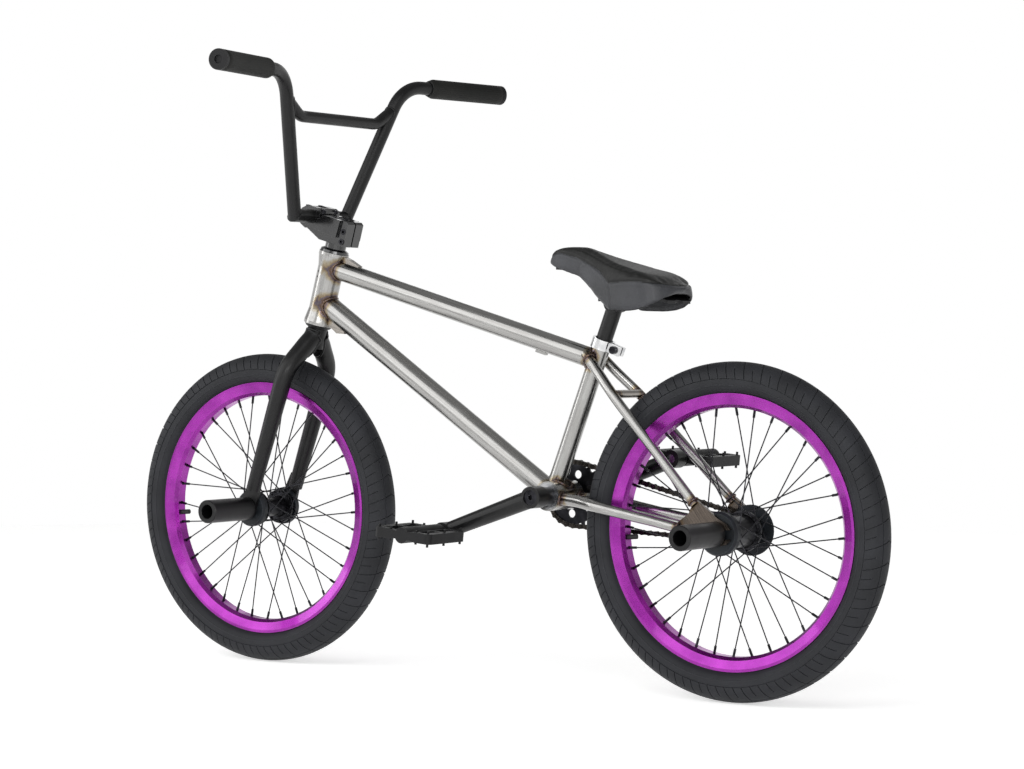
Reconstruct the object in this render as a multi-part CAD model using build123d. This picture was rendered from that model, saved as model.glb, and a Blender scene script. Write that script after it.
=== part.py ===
from build123d import *

import os
from math import asin, cos, pi, radians, sin, tan

os.makedirs("parts", exist_ok=True)

# A freestyle BMX bike with 20 inch wheels, in millimetres.
# +X points forward, +Y to the rider's left and +Z up. The origin lies on the
# ground, midway between the two axles.

# ---- driving dimensions ------------------------------------------------------
wheelbase = 892.7
tyre_r = 257.0                      # 20 x 2.3 inch tyre on a 406 mm bead seat
tyre_width = 58.0
head_angle = 75.0
head_mid = Vector(326.5, 0, 624)    # middle of the head tube
head_half = 61.0
fork_offset = 20.8
bottom_bracket = Vector(-133.5, 0, 300)
seat_angle = 69.4
seat_tube_foot = Vector(-121, 0, 300)
crank_length = 175.0
crank_drop = 20.0                   # left arm below the horizontal, in degrees
chain_pitch = 12.7
sprocket_teeth = 25
driver_teeth = 9
chain_links = 67
chain_y = -46.0
spokes_per_wheel = 36
front_gap_half = 50.0               # half the space between the fork's dropouts
rear_gap_half = 55.0
dropout_thick = 6.0
fit = 0.05                          # radial clearance of a running fit
apart = 0.3                         # air between pieces that only pass each other

front_axle = Vector(wheelbase / 2, 0, tyre_r)
rear_axle = Vector(-wheelbase / 2, 0, tyre_r)
across = Vector(0, 1, 0)

# ---- planes that the sub-parts are built in ----------------------------------
steer_up = Vector(-cos(radians(head_angle)), 0, sin(radians(head_angle)))
steer_ahead = Vector(sin(radians(head_angle)), 0, cos(radians(head_angle)))
steer = Plane(origin=head_mid, x_dir=steer_ahead, z_dir=steer_up)
seat_up = Vector(-cos(radians(seat_angle)), 0, sin(radians(seat_angle)))
seat_ahead = Vector(sin(radians(seat_angle)), 0, cos(radians(seat_angle)))
seat_line = Plane(origin=seat_tube_foot, x_dir=seat_ahead, z_dir=seat_up)


def axle_plane(point):
    """A plane square to an axle, its normal along +Y and its x forward."""
    return Plane(origin=point, x_dir=(1, 0, 0), z_dir=across)


# ---- small helpers -----------------------------------------------------------
def flat(items):
    for item in items:
        if isinstance(item, (list, tuple)):
            yield from flat(item)
        elif isinstance(item, Solid):
            yield item
        else:
            yield from item.solids()


def save(name, *pieces):
    """Write one node. Its solids stay separate pieces."""
    solids = list(flat(pieces))
    shape = solids[0] if len(solids) == 1 else Compound(children=solids)
    export_step(shape, f"parts/{name}.step")


def main_piece(shape):
    """The largest solid of a cut shape; the offcuts are dropped."""
    return max(shape.solids(), key=lambda solid: solid.volume)


def rod(start, end, radius):
    """Round bar between two points."""
    start = Vector(start)
    along = Vector(end) - start
    bar = Cylinder(radius, along.length, align=(Align.CENTER, Align.CENTER, Align.MIN))
    return Plane(origin=start, z_dir=along) * bar


def tube(start, end, radius, wall):
    """Round tube between two points, open at both ends."""
    return rod(start, end, radius) - rod(start, end, radius - wall)


def turned(plane, outline):
    """Revolve a closed outline of (radius, height) points about a plane's normal."""
    face = make_face(Polyline(*outline, close=True))
    return plane * revolve(Plane.XZ * face, Axis.Z)


def ring(plane, inner, outer, low, high):
    return turned(plane, [(inner, low), (outer, low), (outer, high), (inner, high)])


def disc(plane, radius, low, high):
    bar = Cylinder(radius, high - low, align=(Align.CENTER, Align.CENTER, Align.MIN))
    return plane * (Pos(0, 0, low) * bar)


def mirrored(shape):
    """The same shape on the bike's other side."""
    return mirror(shape, about=Plane.XZ)


def rounded_path(points, bend):
    """Straight runs joined by tangent arcs of one radius."""
    points = [Vector(point) for point in points]
    edges = []
    start = points[0]
    for before, corner, after in zip(points, points[1:], points[2:]):
        back = (before - corner).normalized()
        ahead = (after - corner).normalized()
        half = radians(back.get_angle(ahead) / 2)
        inward = (back + ahead).normalized()
        first = corner + back * (bend / tan(half))
        last = corner + ahead * (bend / tan(half))
        middle = corner + inward * (bend / sin(half) - bend)
        edges.append(Edge.make_line(start, first))
        edges.append(Edge.make_three_point_arc(first, middle, last))
        start = last
    edges.append(Edge.make_line(start, points[-1]))
    return Wire(edges)


def bent_rod(path, radius):
    """Round bar of one radius along a path."""
    section = Plane(origin=path.position_at(0), z_dir=path.tangent_at(0)) * Circle(radius)
    return sweep(section, path=path)


def tapered_rod(path, radius_at, sections, side):
    """Round bar along a path whose radius changes along it."""
    faces = []
    for step in range(sections + 1):
        share = step / sections
        here = Plane(origin=path.position_at(share), x_dir=side, z_dir=path.tangent_at(share))
        faces.append(here * Circle(radius_at(share)))
    return loft(faces)


def tapered_tube(path, start_r, end_r, wall, sections, side):
    """Butted tube that narrows evenly from one end to the other."""
    def outside(share):
        return start_r + (end_r - start_r) * share

    def inside(share):
        return outside(share) - wall

    return tapered_rod(path, outside, sections, side) - tapered_rod(path, inside, sections, side)


def around(plane, shape, count, first=0.0):
    """Copies of a shape, spaced evenly about a plane's normal."""
    turn = 360 / count
    local = plane.location.inverse() * shape
    return [plane * (Rot(0, 0, first + turn * step) * local) for step in range(count)]


def hex_prism(plane, flats, low, high):
    prism = extrude(RegularPolygon(flats / 2, 6, major_radius=False), high - low)
    return plane * (Pos(0, 0, low) * prism)


# ---- frame tubes ---------------------------------------------------------------
bearing_r = 20.9                    # headset bearings, outside
bearing_height = 8.0
head_flare_r = 25.0
head_waist_r = 21.5
head_waist_half = 36.0
seat_lift = bearing_height + 0.5
top_tube_r = 16.0
down_tube_r = 17.5
seat_tube_r = 14.3
seat_post_r = 12.7
bb_shell_r = 23.0
bb_shell_half = 35.0
bb_bearing_r = 20.5
tube_wall = 1.2
seat_tube_top = 257.0               # measured up the seat tube from its foot
seat_meets_top_tube = 227.0


def head_tube_outline(inner):
    """Outside of the head tube, with its inner side at one radius."""
    return [
        (inner, -head_half), (head_flare_r, -head_half), (head_flare_r, -head_half + 5),
        (head_waist_r, -head_waist_half), (head_waist_r, head_waist_half),
        (head_flare_r, head_half - 5), (head_flare_r, head_half), (inner, head_half),
    ]


head_solid = turned(steer, head_tube_outline(0))
bb_solid = disc(axle_plane(bottom_bracket), bb_shell_r, -bb_shell_half, bb_shell_half)


def make_head_tube():
    shell = turned(steer, head_tube_outline(17.2))
    for low in (-head_half - 1, head_half - seat_lift):
        shell -= disc(steer, bearing_r + fit, low, low + seat_lift + 1)
    for height in (20, 29):
        vent = Plane(origin=steer.from_local_coords((0, 0, height)), z_dir=(0.45, 0.9, 0))
        shell -= disc(vent, 1.6, 0, 30)
    return shell


def make_down_tube():
    top = steer.from_local_coords((0, 0, -22.1))
    foot = Vector(bottom_bracket.X, 0, 293.4)
    return main_piece(tube(top, foot, down_tube_r, tube_wall) - head_solid - bb_solid - seat_solid)


seat_top = seat_tube_foot + seat_up * seat_tube_top
seat_solid = rod(seat_tube_foot, seat_top, seat_tube_r)
top_tube_front = Vector(318.0, 0, 658.3)
top_tube_rear = seat_tube_foot + seat_up * seat_meets_top_tube


def make_top_tube():
    pipe = tube(top_tube_front, top_tube_rear, top_tube_r, tube_wall)
    slope = (top_tube_front - top_tube_rear).normalized()
    boss_at = top_tube_rear + slope * 102
    below = Plane(origin=boss_at, x_dir=slope, z_dir=(slope.Z, 0, -slope.X))
    boss = below * Pos(0, 0, top_tube_r) * Box(19, 8, 7)
    boss -= rod(top_tube_front, top_tube_rear, top_tube_r - 0.6)
    return pipe - head_solid - seat_solid + boss


def make_seat_tube():
    pipe = tube(seat_tube_foot, seat_top, seat_tube_r, seat_tube_r - seat_post_r - fit)
    slot = seat_line * Pos(-seat_tube_r, 0, seat_tube_top) * Box(12, 3, 40)
    return pipe - bb_solid - slot


def make_bb_shell():
    shell = ring(axle_plane(bottom_bracket), bb_bearing_r - 2, bb_shell_r, -bb_shell_half, bb_shell_half)
    for side in (-1, 1):
        mouth = bottom_bracket + across * (side * (bb_shell_half - 9))
        shell -= rod(mouth, mouth + across * (side * 12), bb_bearing_r + fit)
    return shell


# ---- rear triangle ---------------------------------------------------------------
chainstay_r = (9.5, 8.0)
seatstay_r = (8.0, 7.4)
stay_wall = 1.1
stay_end_y = rear_gap_half + dropout_thick / 2 + 0.6
chainstay_points = [
    (-140, 26, 297), (-186, 31, 294), (-230, 45.5, 288), (-324, 46.5, 272), (-384, stay_end_y, 263),
]
seatstay_points = [(-191, 19, 522), (-262, 42, 452), (-412, stay_end_y, 299)]
bridge_r = 6.5


def rear_plate():
    """Left rear dropout: a flat plate with an axle slot that opens to the rear."""
    outline = [
        (64, -4), (64, 15), (45, 29), (41, 38), (31, 49), (14, 37), (-4, 24), (-19, 16),
        (-25, 9), (-25, -9), (-19, -15), (0, -19), (30, -14),
    ]
    plate = extrude(make_face(Polyline(*outline, close=True)), dropout_thick)
    slot_half = 7.0 + 2 * fit
    plate -= Pos(-17, 0, 0) * Box(46, 2 * slot_half, 20)
    plate -= Pos(6, 0, 0) * Cylinder(slot_half, 20)
    # the outline is drawn with z up, so the plane's y has to point up too
    outer = rear_axle + across * (rear_gap_half + dropout_thick)
    upright = Plane(origin=outer, x_dir=(1, 0, 0), z_dir=-across)
    return upright * plate


def make_chainstay(plate):
    path = rounded_path(chainstay_points, 45)
    # the cut runs past the shell's ends, so that no sliver of the stay reaches the spindle
    cope = disc(axle_plane(bottom_bracket), bb_shell_r, -60, 60)
    return main_piece(tapered_tube(path, *chainstay_r, stay_wall, 14, across) - cope - plate)


def make_seatstay(plate, top_solid):
    path = rounded_path(seatstay_points, 70)
    stay = tapered_tube(path, *seatstay_r, stay_wall, 10, across)
    return main_piece(stay - seat_solid - top_solid - plate)


def make_gussets_and_bridges(top_solid, down_solid, chainstay, seatstay):
    """Two plates at the head tube and two cross tubes between the stays."""
    upper = [(318, 684), (288, 675.5), (276, 670), (257, 659), (270, 640), (318, 655)]
    lower = [(340, 575), (314, 560.5), (300, 549.5), (283, 548.5), (303, 583), (345, 600)]
    plates = []
    for outline, width in ((upper, 11), (lower, 15)):
        face = Plane.XZ * make_face(Polyline(*outline, close=True))
        plate = extrude(face, width / 2, both=True)
        plates.append(main_piece(plate - head_solid - top_solid - down_solid))
    seat_bridge = rod((-256, -38, 461), (-256, 38, 461), bridge_r)
    chain_bridge = rod((-176, -31, 294), (-176, 31, 294), bridge_r)
    for stay in (seatstay, mirrored(seatstay)):
        seat_bridge -= stay
    for stay in (chainstay, mirrored(chainstay)):
        chain_bridge -= stay
    return plates, main_piece(seat_bridge), main_piece(chain_bridge)


# ---- seat clamp, post and seat -----------------------------------------------------
clamp_low = seat_tube_top - 11
clamp_high = seat_tube_top + 5
clamp_outer_r = 18.0
pivot_lift = 322.0                  # seat pivot, measured up the seat tube from its foot
pivot_r = 15.0
seat_pivot = seat_tube_foot + seat_up * pivot_lift
post_insert = 95.0                  # length of post below the clamp's top


def make_seat_clamp():
    collar = ring(seat_line, seat_tube_r + fit, clamp_outer_r, clamp_low, clamp_high)
    lug = Pos(-25, 0, (clamp_low + clamp_high) / 2) * Box(22, 19, clamp_high - clamp_low - 2)
    core = Cylinder(clamp_outer_r - 1, 40, align=(Align.CENTER, Align.CENTER, Align.MIN))
    lug -= Pos(0, 0, clamp_low - 1) * core
    collar += seat_line * lug
    gap = Box(24, 3, 40)
    collar -= seat_line * Pos(-26, 0, clamp_low) * gap
    return collar - make_seat_clamp_bolt(3.6, 6.2)


def make_seat_clamp_bolt(shank_r, head_r):
    middle = seat_line.from_local_coords((-27, 0, (clamp_low + clamp_high) / 2))
    shank = rod(middle - across * 9, middle + across * 8, shank_r)
    return shank + rod(middle + across * 6.5, middle + across * 13.5, head_r)


def make_seat_post():
    foot = seat_tube_foot + seat_up * (clamp_high - post_insert)
    post = rod(foot, seat_pivot, seat_post_r)
    post += rod(seat_pivot - across * 14, seat_pivot + across * 14, pivot_r)
    post -= rod(foot - seat_up, seat_pivot - seat_up * (pivot_r + 4), seat_post_r - 2.4)
    for turn in (-14, -7, 0, 7, 14):
        post -= rod(seat_pivot, seat_pivot + seat_bolt_aim.rotate(Axis.Y, turn) * 30, 4.4)
    return post


seat_side = [(-112, 662), (-121, 679), (-150, 689), (-213, 674), (-291, 650), (-338, 632), (-354, 612)]
seat_belly = [(-350, 590), (-300, 586), (-252, 586), (-217, 608), (-178, 640), (-128, 655)]
seat_pan_line = [(-128, 657.5), (-160, 655), (-213, 645), (-291, 624), (-346, 605)]
seat_bolt_aim = Vector(0.32, 0, 0.95).normalized()
skirt_thick = 11.0
pan_thick = 4.5
seat_half_widths = [
    (-112, 0), (-126, 17), (-160, 22), (-205, 30), (-250, 52), (-290, 62), (-328, 59), (-350, 35),
    (-354, 0),
]


def seat_plan(inset):
    """Plan outline of the saddle, brought in by an inset."""
    left = []
    for x, half in seat_half_widths[1:-1]:
        left.append((x, max(half - inset, 2)))
    right = [(x, -half) for x, half in reversed(left)]
    nose = (seat_half_widths[0][0] - inset, 0)
    tail = (seat_half_widths[-1][0] + inset, 0)
    outline = Spline(nose, *left, tail, *right, periodic=True)
    return extrude(make_face(outline), 760)


def seat_side_body():
    """Side outline of the saddle, extruded right through it."""
    outline = Spline(*seat_side) + Polyline(seat_side[-1], *seat_belly, seat_side[0])
    return extrude(Plane.XZ * make_face(outline), 80, both=True)


def under_pan(drop, half):
    """Everything below the pan's upper surface, lowered by a drop."""
    top = [(x, z - drop) for x, z in seat_pan_line]
    outline = Spline(*top) + Polyline(top[-1], (top[-1][0], 540), (top[0][0], 540), top[0])
    return extrude(Plane.XZ * make_face(outline), half, both=True)


def make_seat_pad():
    """Plain closed cushion with its skirts, open underneath for the plastic base."""
    return (seat_side_body() & seat_plan(0)) - (under_pan(0, 80) & seat_plan(skirt_thick))


def make_seat_base():
    """Moulded pan under the cushion with a cradle that sits on the post head."""
    plan = seat_plan(skirt_thick + apart)
    pan = (under_pan(apart, 80) - under_pan(apart + pan_thick, 90)) & plan
    cradle = under_pan(apart + 1, 18) & (Pos(seat_pivot.X, 0, seat_pivot.Z + 2) * Box(44, 36, 100))
    cradle -= Pos(seat_pivot.X, 0, seat_pivot.Z + 2 - 50) * Box(90, 90, 100)
    base = pan + cradle
    pivot_bore = rod(seat_pivot - across * 40, seat_pivot + across * 40, pivot_r + apart)
    return base - pivot_bore - make_seat_bolt(4.3)


def make_seat_bolt(radius):
    """Bolt from the seat pan down into the pivot head, or the hole for it."""
    return rod(seat_pivot, seat_pivot + seat_bolt_aim * 31, radius)


# ---- fork ------------------------------------------------------------------------------
steerer_r = 14.3
steerer_bore_r = 11.3
steerer_low = -101.0
steerer_high = 113.0
race_r = 23.5
fork_leg_r = (16.0, 11.6)
fork_leg_y = 57.0
axle_drop = -385.5                  # front axle, measured down the steering axis
fork_leg_end = -352.0
fork_axle_r = 4.76
rear_axle_r = 7.0


def make_fork_steerer():
    outline = [
        (steerer_bore_r, steerer_low), (steerer_r + 2.2, steerer_low), (steerer_r + 2.2, -68),
        (race_r - 3, -66), (race_r, -head_half - apart), (15.05, -head_half - apart),
        (15.05, -head_half + bearing_height), (steerer_r, -head_half + bearing_height),
        (steerer_r, steerer_high), (steerer_bore_r, steerer_high),
    ]
    return turned(steer, outline)


def fork_point(forward, left, up):
    return steer.from_local_coords((forward, left, up))


def make_fork_leg(steerer_solid):
    """Left fork leg with its dropout welded on."""
    crown = fork_point(0, 7, -83)
    bend = fork_point(3, fork_leg_y, -139)
    points = [crown, bend, fork_point(16, fork_leg_y, fork_leg_end)]
    path = rounded_path(points, 58)
    leg = tapered_tube(path, *fork_leg_r, 2.0, 18, (1, 0, 0))
    tip = fork_point(16, fork_leg_y, fork_leg_end)
    leg += rod(fork_point(15.8, fork_leg_y, fork_leg_end + 3), tip, fork_leg_r[1])
    centre = (fork_offset, axle_drop)
    outline = [(6, fork_leg_end + 24), (26, fork_leg_end + 24), (36, axle_drop + 10), (35, axle_drop - 10),
               (26, axle_drop - 17), (15, axle_drop - 17), (6, axle_drop - 9), (5, axle_drop + 12)]
    side_plane = Plane(origin=head_mid, x_dir=steer_ahead, z_dir=-across)
    plate = extrude(make_face(Polyline(*outline, close=True)), dropout_thick)
    slot_half = fork_axle_r + 2 * fit
    plate -= Pos(*centre, 0) * Cylinder(slot_half, 20)
    plate -= Pos(centre[0], centre[1] - 15, 0) * Box(2 * slot_half, 30, 20)
    plate = Pos(0, front_gap_half + dropout_thick, 0) * (side_plane * plate)
    return leg - steerer_solid + plate


def make_headset_cover():
    """Dust cover and spacer above the head tube, with the compression ring inside it."""
    low = head_half + apart
    outline = [
        (steerer_r + fit, head_half - bearing_height), (15.05, head_half - bearing_height),
        (15.05, low), (24.0, low),
        (23.0, low + 4), (17.5, low + 7), (17.5, 76.0), (steerer_r + fit, 76.0),
    ]
    return turned(steer, outline)


def make_headset_bearings():
    rings = []
    for low in (-head_half, head_half - bearing_height):
        rings.append(ring(steer, 15.05 + fit, bearing_r, low + 0.2, low + bearing_height))
    return rings


# ---- stem and bars ---------------------------------------------------------------------
clamp_centre = (43.6, 110.5)        # bar centre ahead of and up the steering axis
stem_half = 26.0
stem_rear_half = 21.0                 # narrower behind the bar clamp
bar_r = 11.1
crossbar_r = 9.5
bar_bolts = [(43.6 + step * 15.6, side * 16.5) for step in (-1, 1) for side in (-1, 1)]
pinch_bolts = [(-24.0, 84.5), (-24.0, 101.0)]
cap_top = 127.0


def stem_slab(outline, half):
    """Extrude an outline of (ahead, up) points to both sides of the steering plane."""
    side_plane = Plane(origin=head_mid, x_dir=steer_ahead, z_dir=-across)
    return side_plane * extrude(make_face(Polyline(*outline, close=True)), half, both=True)


def bar_clamp_space():
    centre = fork_point(clamp_centre[0], 0, clamp_centre[1])
    return rod(centre - across * 40, centre + across * 40, bar_r + fit)


def make_stem_body():
    outline = [
        (-30.5, 77), (22, 77), (62, 94), (66, 99), (66, 110.2), (26, 110.2), (20, 118.5),
        (-26, 118.5), (-30.5, 115),
    ]
    body = stem_slab(outline, stem_half)
    for side in (-1, 1):
        wedge = [(-40, 70), (80, 70), (80, 82), (40, 92), (-40, 88)]
        body -= Pos(0, side * stem_half, 0) * stem_slab(wedge, 6)
        waist = [(-40, 70), (-13, 70), (-17, 130), (-40, 130)]
        body -= Pos(0, side * (stem_rear_half + 10), 0) * stem_slab(waist, 10)
    body -= disc(steer, steerer_r + fit, 60, 116)
    body -= disc(steer, 12.5, 60, 130)
    body -= bar_clamp_space()
    body -= stem_slab([(-40, 70), (-12, 70), (-12, 125), (-40, 125)], 1.6)
    body -= stem_slab([(24, 86), (36, 91.5), (36, 96), (24, 96)], 12)
    for ahead, up in pinch_bolts:
        centre = fork_point(ahead, 0, up)
        body -= rod(centre - across * (stem_rear_half - 3), centre + across * 30, 3.1)
        body -= rod(centre + across * (stem_rear_half - 5), centre + across * 30, 5.3)
    for ahead, left in bar_bolts:
        body -= rod(fork_point(ahead, left, 98), fork_point(ahead, left, 115), 3.1)
    return body


def make_stem_cap():
    outline = [(26, 110.8), (66, 110.8), (66, 119), (58, 125), (50, cap_top), (34, cap_top), (26, 123)]
    cap = stem_slab(outline, stem_half) - bar_clamp_space()
    cap -= stem_slab([(36, cap_top - 2.5), (51, cap_top - 2.5), (51, 130), (36, 130)], 12)
    for ahead, left in bar_bolts:
        cap -= rod(fork_point(ahead, left, 105), fork_point(ahead, left, 130), 3.1)
        cap -= rod(fork_point(ahead, left, cap_top - 7), fork_point(ahead, left, 135), 5.3)
    return cap


def cap_screw(start, end, head_length, shank_r, head_r):
    """Socket head screw: start is its tip, end the top of its head."""
    end = Vector(end)
    along = (end - Vector(start)).normalized()
    neck = end - along * head_length
    screw = rod(start, neck + along, shank_r) + rod(neck, end, head_r)
    key = Plane(origin=end, z_dir=along)
    return screw - hex_prism(key, head_r, -head_length * 0.6, 1)


def make_stem_bolts():
    """Four bar clamp bolts, two pinch bolts and the headset preload bolt."""
    bolts = []
    for ahead, left in bar_bolts:
        low = fork_point(ahead, left, 99)
        bolts.append(cap_screw(low, fork_point(ahead, left, cap_top - 1), 5.8, 3.0, 5.1))
    for ahead, up in pinch_bolts:
        centre = fork_point(ahead, 0, up)
        low = centre - across * (stem_rear_half - 5)
        bolts.append(cap_screw(low, centre + across * (stem_rear_half + 0.5), 5.4, 3.0, 5.1))
    bolts.append(cap_screw(fork_point(0, 0, 96), fork_point(0, 0, 119.5), 4.5, 6.5, 12.4))
    return bolts


bar_foot = Vector(340, 70, 742)     # mitred lower corner of the bar
bar_knee = Vector(290, 161, 967)    # riser and grip lines meet here
bar_tip = Vector(244.6, 376.8, 966.1)
bar_bend = 62.0
bar_wall = 1.8
crossbar_points = [(298.6, -148, 928), (304, -104, 900), (304, 104, 900), (298.6, 148, 928)]
grip_length = 162.0
grip_r = 16.5
grip_line = (bar_tip - bar_knee).normalized()


def bar_shape(radius, cross_radius, extra):
    """Mitred bottom tube, two bent risers and the crossbar, at one set of radii."""
    run = (bar_knee - bar_foot).normalized()
    mitre = Plane(origin=bar_foot, z_dir=run + across)
    corners = [bar_foot - run * 20, bar_knee, bar_tip + grip_line * extra]
    side = bent_rod(rounded_path(corners, bar_bend), radius)
    side = split(side, bisect_by=mitre, keep=Keep.TOP)
    middle = rod(bar_foot - across * bar_foot.Y, bar_foot + across * 20, radius)
    middle = split(middle, bisect_by=mitre, keep=Keep.BOTTOM)
    shape = side + middle
    return shape + mirrored(shape) + bent_rod(rounded_path(crossbar_points, 34), cross_radius)


def make_handlebar():
    """Four-piece handlebar, hollow throughout and open at the grips."""
    return bar_shape(bar_r, crossbar_r, 0) - bar_shape(bar_r - bar_wall, crossbar_r - bar_wall, 1)


def make_grip():
    """Left grip: rubber sleeve, tapered at its inner end and open at the outer end for the plug."""
    inner = bar_r + fit
    length = grip_length + 3
    outline = [
        (inner, 0), (inner + 2.4, 0), (grip_r - 0.9, 7), (grip_r, 9.5), (grip_r, length), (inner, length),
    ]
    return turned(Plane(origin=bar_tip - grip_line * grip_length, z_dir=grip_line), outline)


def make_bar_end():
    """Left plug: a stem inside the bar and a flat cap over the grip's end."""
    cap_at = bar_tip + grip_line * 3.3
    plug = rod(bar_tip - grip_line * 22, cap_at + grip_line, bar_r - bar_wall - fit)
    plug += rod(cap_at, cap_at + grip_line * 6, grip_r)
    return plug - rod(cap_at + grip_line * 2.5, cap_at + grip_line * 8, 7.0)


# ---- wheels ----------------------------------------------------------------------------
rim_flange_r = 209.5
rim_bead_r = 203.0
rim_inner_r = 187.5
rim_half = 18.5
tyre_half = tyre_width / 2
tyre_centre_r = tyre_r - tyre_half
tube_r = 22.0
tube_middle_r = tyre_centre_r + 1
tube_thick = 0.9
spoke_r = 1.0
nipple_r = 2.0
spoke_cross = 3


def make_rim(plane):
    """Double-wall rim with nipple holes, access holes and a valve hole."""
    half = [
        (rim_inner_r, 8.5), (rim_inner_r + 5, 14.5), (205.2, rim_half), (rim_flange_r, rim_half),
        (rim_flange_r, rim_half - 1.8), (rim_bead_r, rim_half - 1.8), (rim_bead_r - 0.6, 12.0),
        (199.0, 8.0),
    ]
    other = [(r, -y) for r, y in reversed(half)]
    rim = turned(plane, half + other)
    chamber = [
        (rim_inner_r + 2, 7.6), (rim_inner_r + 6.3, 12.8), (200.8, 15.2), (200.6, 12.0), (197.2, 7.2),
    ]
    rim -= turned(plane, chamber + [(r, -y) for r, y in reversed(chamber)])
    seat = plane.origin + plane.x_dir * (rim_inner_r - 5)
    bed = plane.origin + plane.x_dir * 196
    drill = rod(seat, bed, 2.9)
    drill += rod(bed, bed + plane.x_dir * 10, 3.7)
    for hole in around(plane, drill, spokes_per_wheel):
        rim -= hole
    return rim - valve_rod(plane, 4.3)


def valve_rod(plane, radius):
    """Valve stem midway between two spokes, square to the rim."""
    turn = 180 / spokes_per_wheel
    stem = plane.origin + plane.x_dir * (rim_inner_r - 16)
    top = plane.origin + plane.x_dir * (tube_middle_r - tube_r - 0.1)
    return plane * (Rot(0, 0, turn) * (plane.location.inverse() * rod(stem, top, radius)))


def make_tyre(plane):
    """Tyre casing: rounded crown, bulging sides and two beads inside the rim."""
    widest = (tyre_half, tyre_centre_r)
    crown = (0, tyre_r)
    shoulder = (tyre_half * cos(pi / 4), tyre_centre_r + tyre_half * sin(pi / 4))
    neck = (17.0, rim_flange_r + 0.9)
    belly = (26.2, 217.6)
    inner_wide = (tyre_half - 3.0, tyre_centre_r)
    inner_crown = (0, tyre_r - 5.5)
    inner_low = (13.0, rim_bead_r + 4.5)

    def half_edges(sign):
        def point(pair):
            return (pair[1], sign * pair[0])

        return [
            ThreePointArc(point(crown), point(shoulder), point(widest)),
            ThreePointArc(point(widest), point(belly), point(neck)),
            Polyline(point(neck), point((16.4, rim_flange_r)), point((16.4, rim_bead_r + apart)),
                     point((13.0, rim_bead_r + apart)), point(inner_low)),
            ThreePointArc(point(inner_low), point((22.6, 216.5)), point(inner_wide)),
            ThreePointArc(point(inner_wide), point((19.4, 244.2)), point(inner_crown)),
        ]

    face = make_face(half_edges(1) + half_edges(-1))
    return plane * revolve(Plane.XZ * face, Axis.Z)


def make_inner_tube(plane):
    """Butyl tube, a thin torus, with its valve stem through the rim."""
    body = plane * (Torus(tube_middle_r, tube_r) - Torus(tube_middle_r, tube_r - tube_thick))
    return body, valve_rod(plane, 4.0)


def make_spokes(plane, flange_y, flange_hole_r):
    """Three-cross lacing: an elbow at the hub, a straight run and a nipple at the rim."""
    pieces = []
    step = 720 / spokes_per_wheel
    centre = plane.origin
    for side in (1, -1):
        for lead in (1, -1):
            first = (0 if side > 0 else step / 2) + (0 if lead > 0 else step)
            sweep_turn = lead * spoke_cross * step
            hub_angle = radians(first + sweep_turn)
            rim_angle = radians(first)
            outward = 1 if lead > 0 else -1
            run_y = side * (flange_y[side] + (5.8 if outward > 0 else -3.0))
            head_y = side * (flange_y[side] - outward * 3.0)
            hub_dir = plane.x_dir * cos(hub_angle) + plane.y_dir * sin(hub_angle)
            rim_dir = plane.x_dir * cos(rim_angle) + plane.y_dir * sin(rim_angle)
            elbow = centre + hub_dir * flange_hole_r + across * run_y
            head = centre + hub_dir * flange_hole_r + across * head_y
            goal = centre + rim_dir * (rim_inner_r + 1.0) + across * (side * 0.3)
            along = (goal - elbow).normalized()
            wire = rod(elbow, goal - along * 3, spoke_r) + rod(head, elbow, spoke_r)
            wire += Pos(elbow) * Sphere(spoke_r)
            wire += rod(head - across * (side * outward * 0.9), head, spoke_r * 1.7)
            nipple = rod(goal - along * 13, goal + along * 2, nipple_r)
            nipple += rod(goal + along * 2, goal + along * 4.4, nipple_r * 1.6)
            nipple -= rod(goal - along * 14, goal - along * 2, spoke_r + 0.1)
            count = spokes_per_wheel // 4
            pieces += around(plane, wire, count) + around(plane, nipple, count)
    return pieces


def hub_holes(plane, side_y, flange_hole_r, first):
    """Spoke holes through one hub flange."""
    start = plane.origin + plane.x_dir * flange_hole_r + across * (side_y - 5)
    drill = rod(start, start + across * 10, spoke_r + 0.3)
    return around(plane, drill, spokes_per_wheel // 2, first)


def bored_hub(plane, outline, flange_y, flange_hole_r):
    hub = turned(plane, outline)
    first = {1: 0.0, -1: 360 / spokes_per_wheel}
    for side in (1, -1):
        for hole in hub_holes(plane, side * flange_y[side], flange_hole_r, first[side]):
            hub -= hole
    return hub


front_flange = {1: 31.0, -1: 31.0}
front_hole_r = 25.0
rear_flange = {1: 35.0, -1: 27.5}
rear_hole_r = 27.5
front_bearing = (fork_axle_r + fit, 13.0, 8.0)
rear_bearing = (rear_axle_r + fit, 14.0, 7.0)
driver_r = 11.5
driver_bearing_r = 17.5


def make_front_hub(plane):
    outer = front_bearing[1]
    edge = 36.5
    outline = [
        (8.0, -28.0), (outer + fit, -28.0), (outer + fit, -edge), (15.6, -edge), (16.4, -32.8),
        (28.2, -32.4), (28.2, -29.6), (18.5, -28.6), (15.5, -18.0), (15.5, 18.0), (18.5, 28.6),
        (28.2, 29.6), (28.2, 32.4), (16.4, 32.8), (15.6, edge), (outer + fit, edge),
        (outer + fit, 28.0), (8.0, 28.0),
    ]
    return bored_hub(plane, outline, front_flange, front_hole_r)


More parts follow.
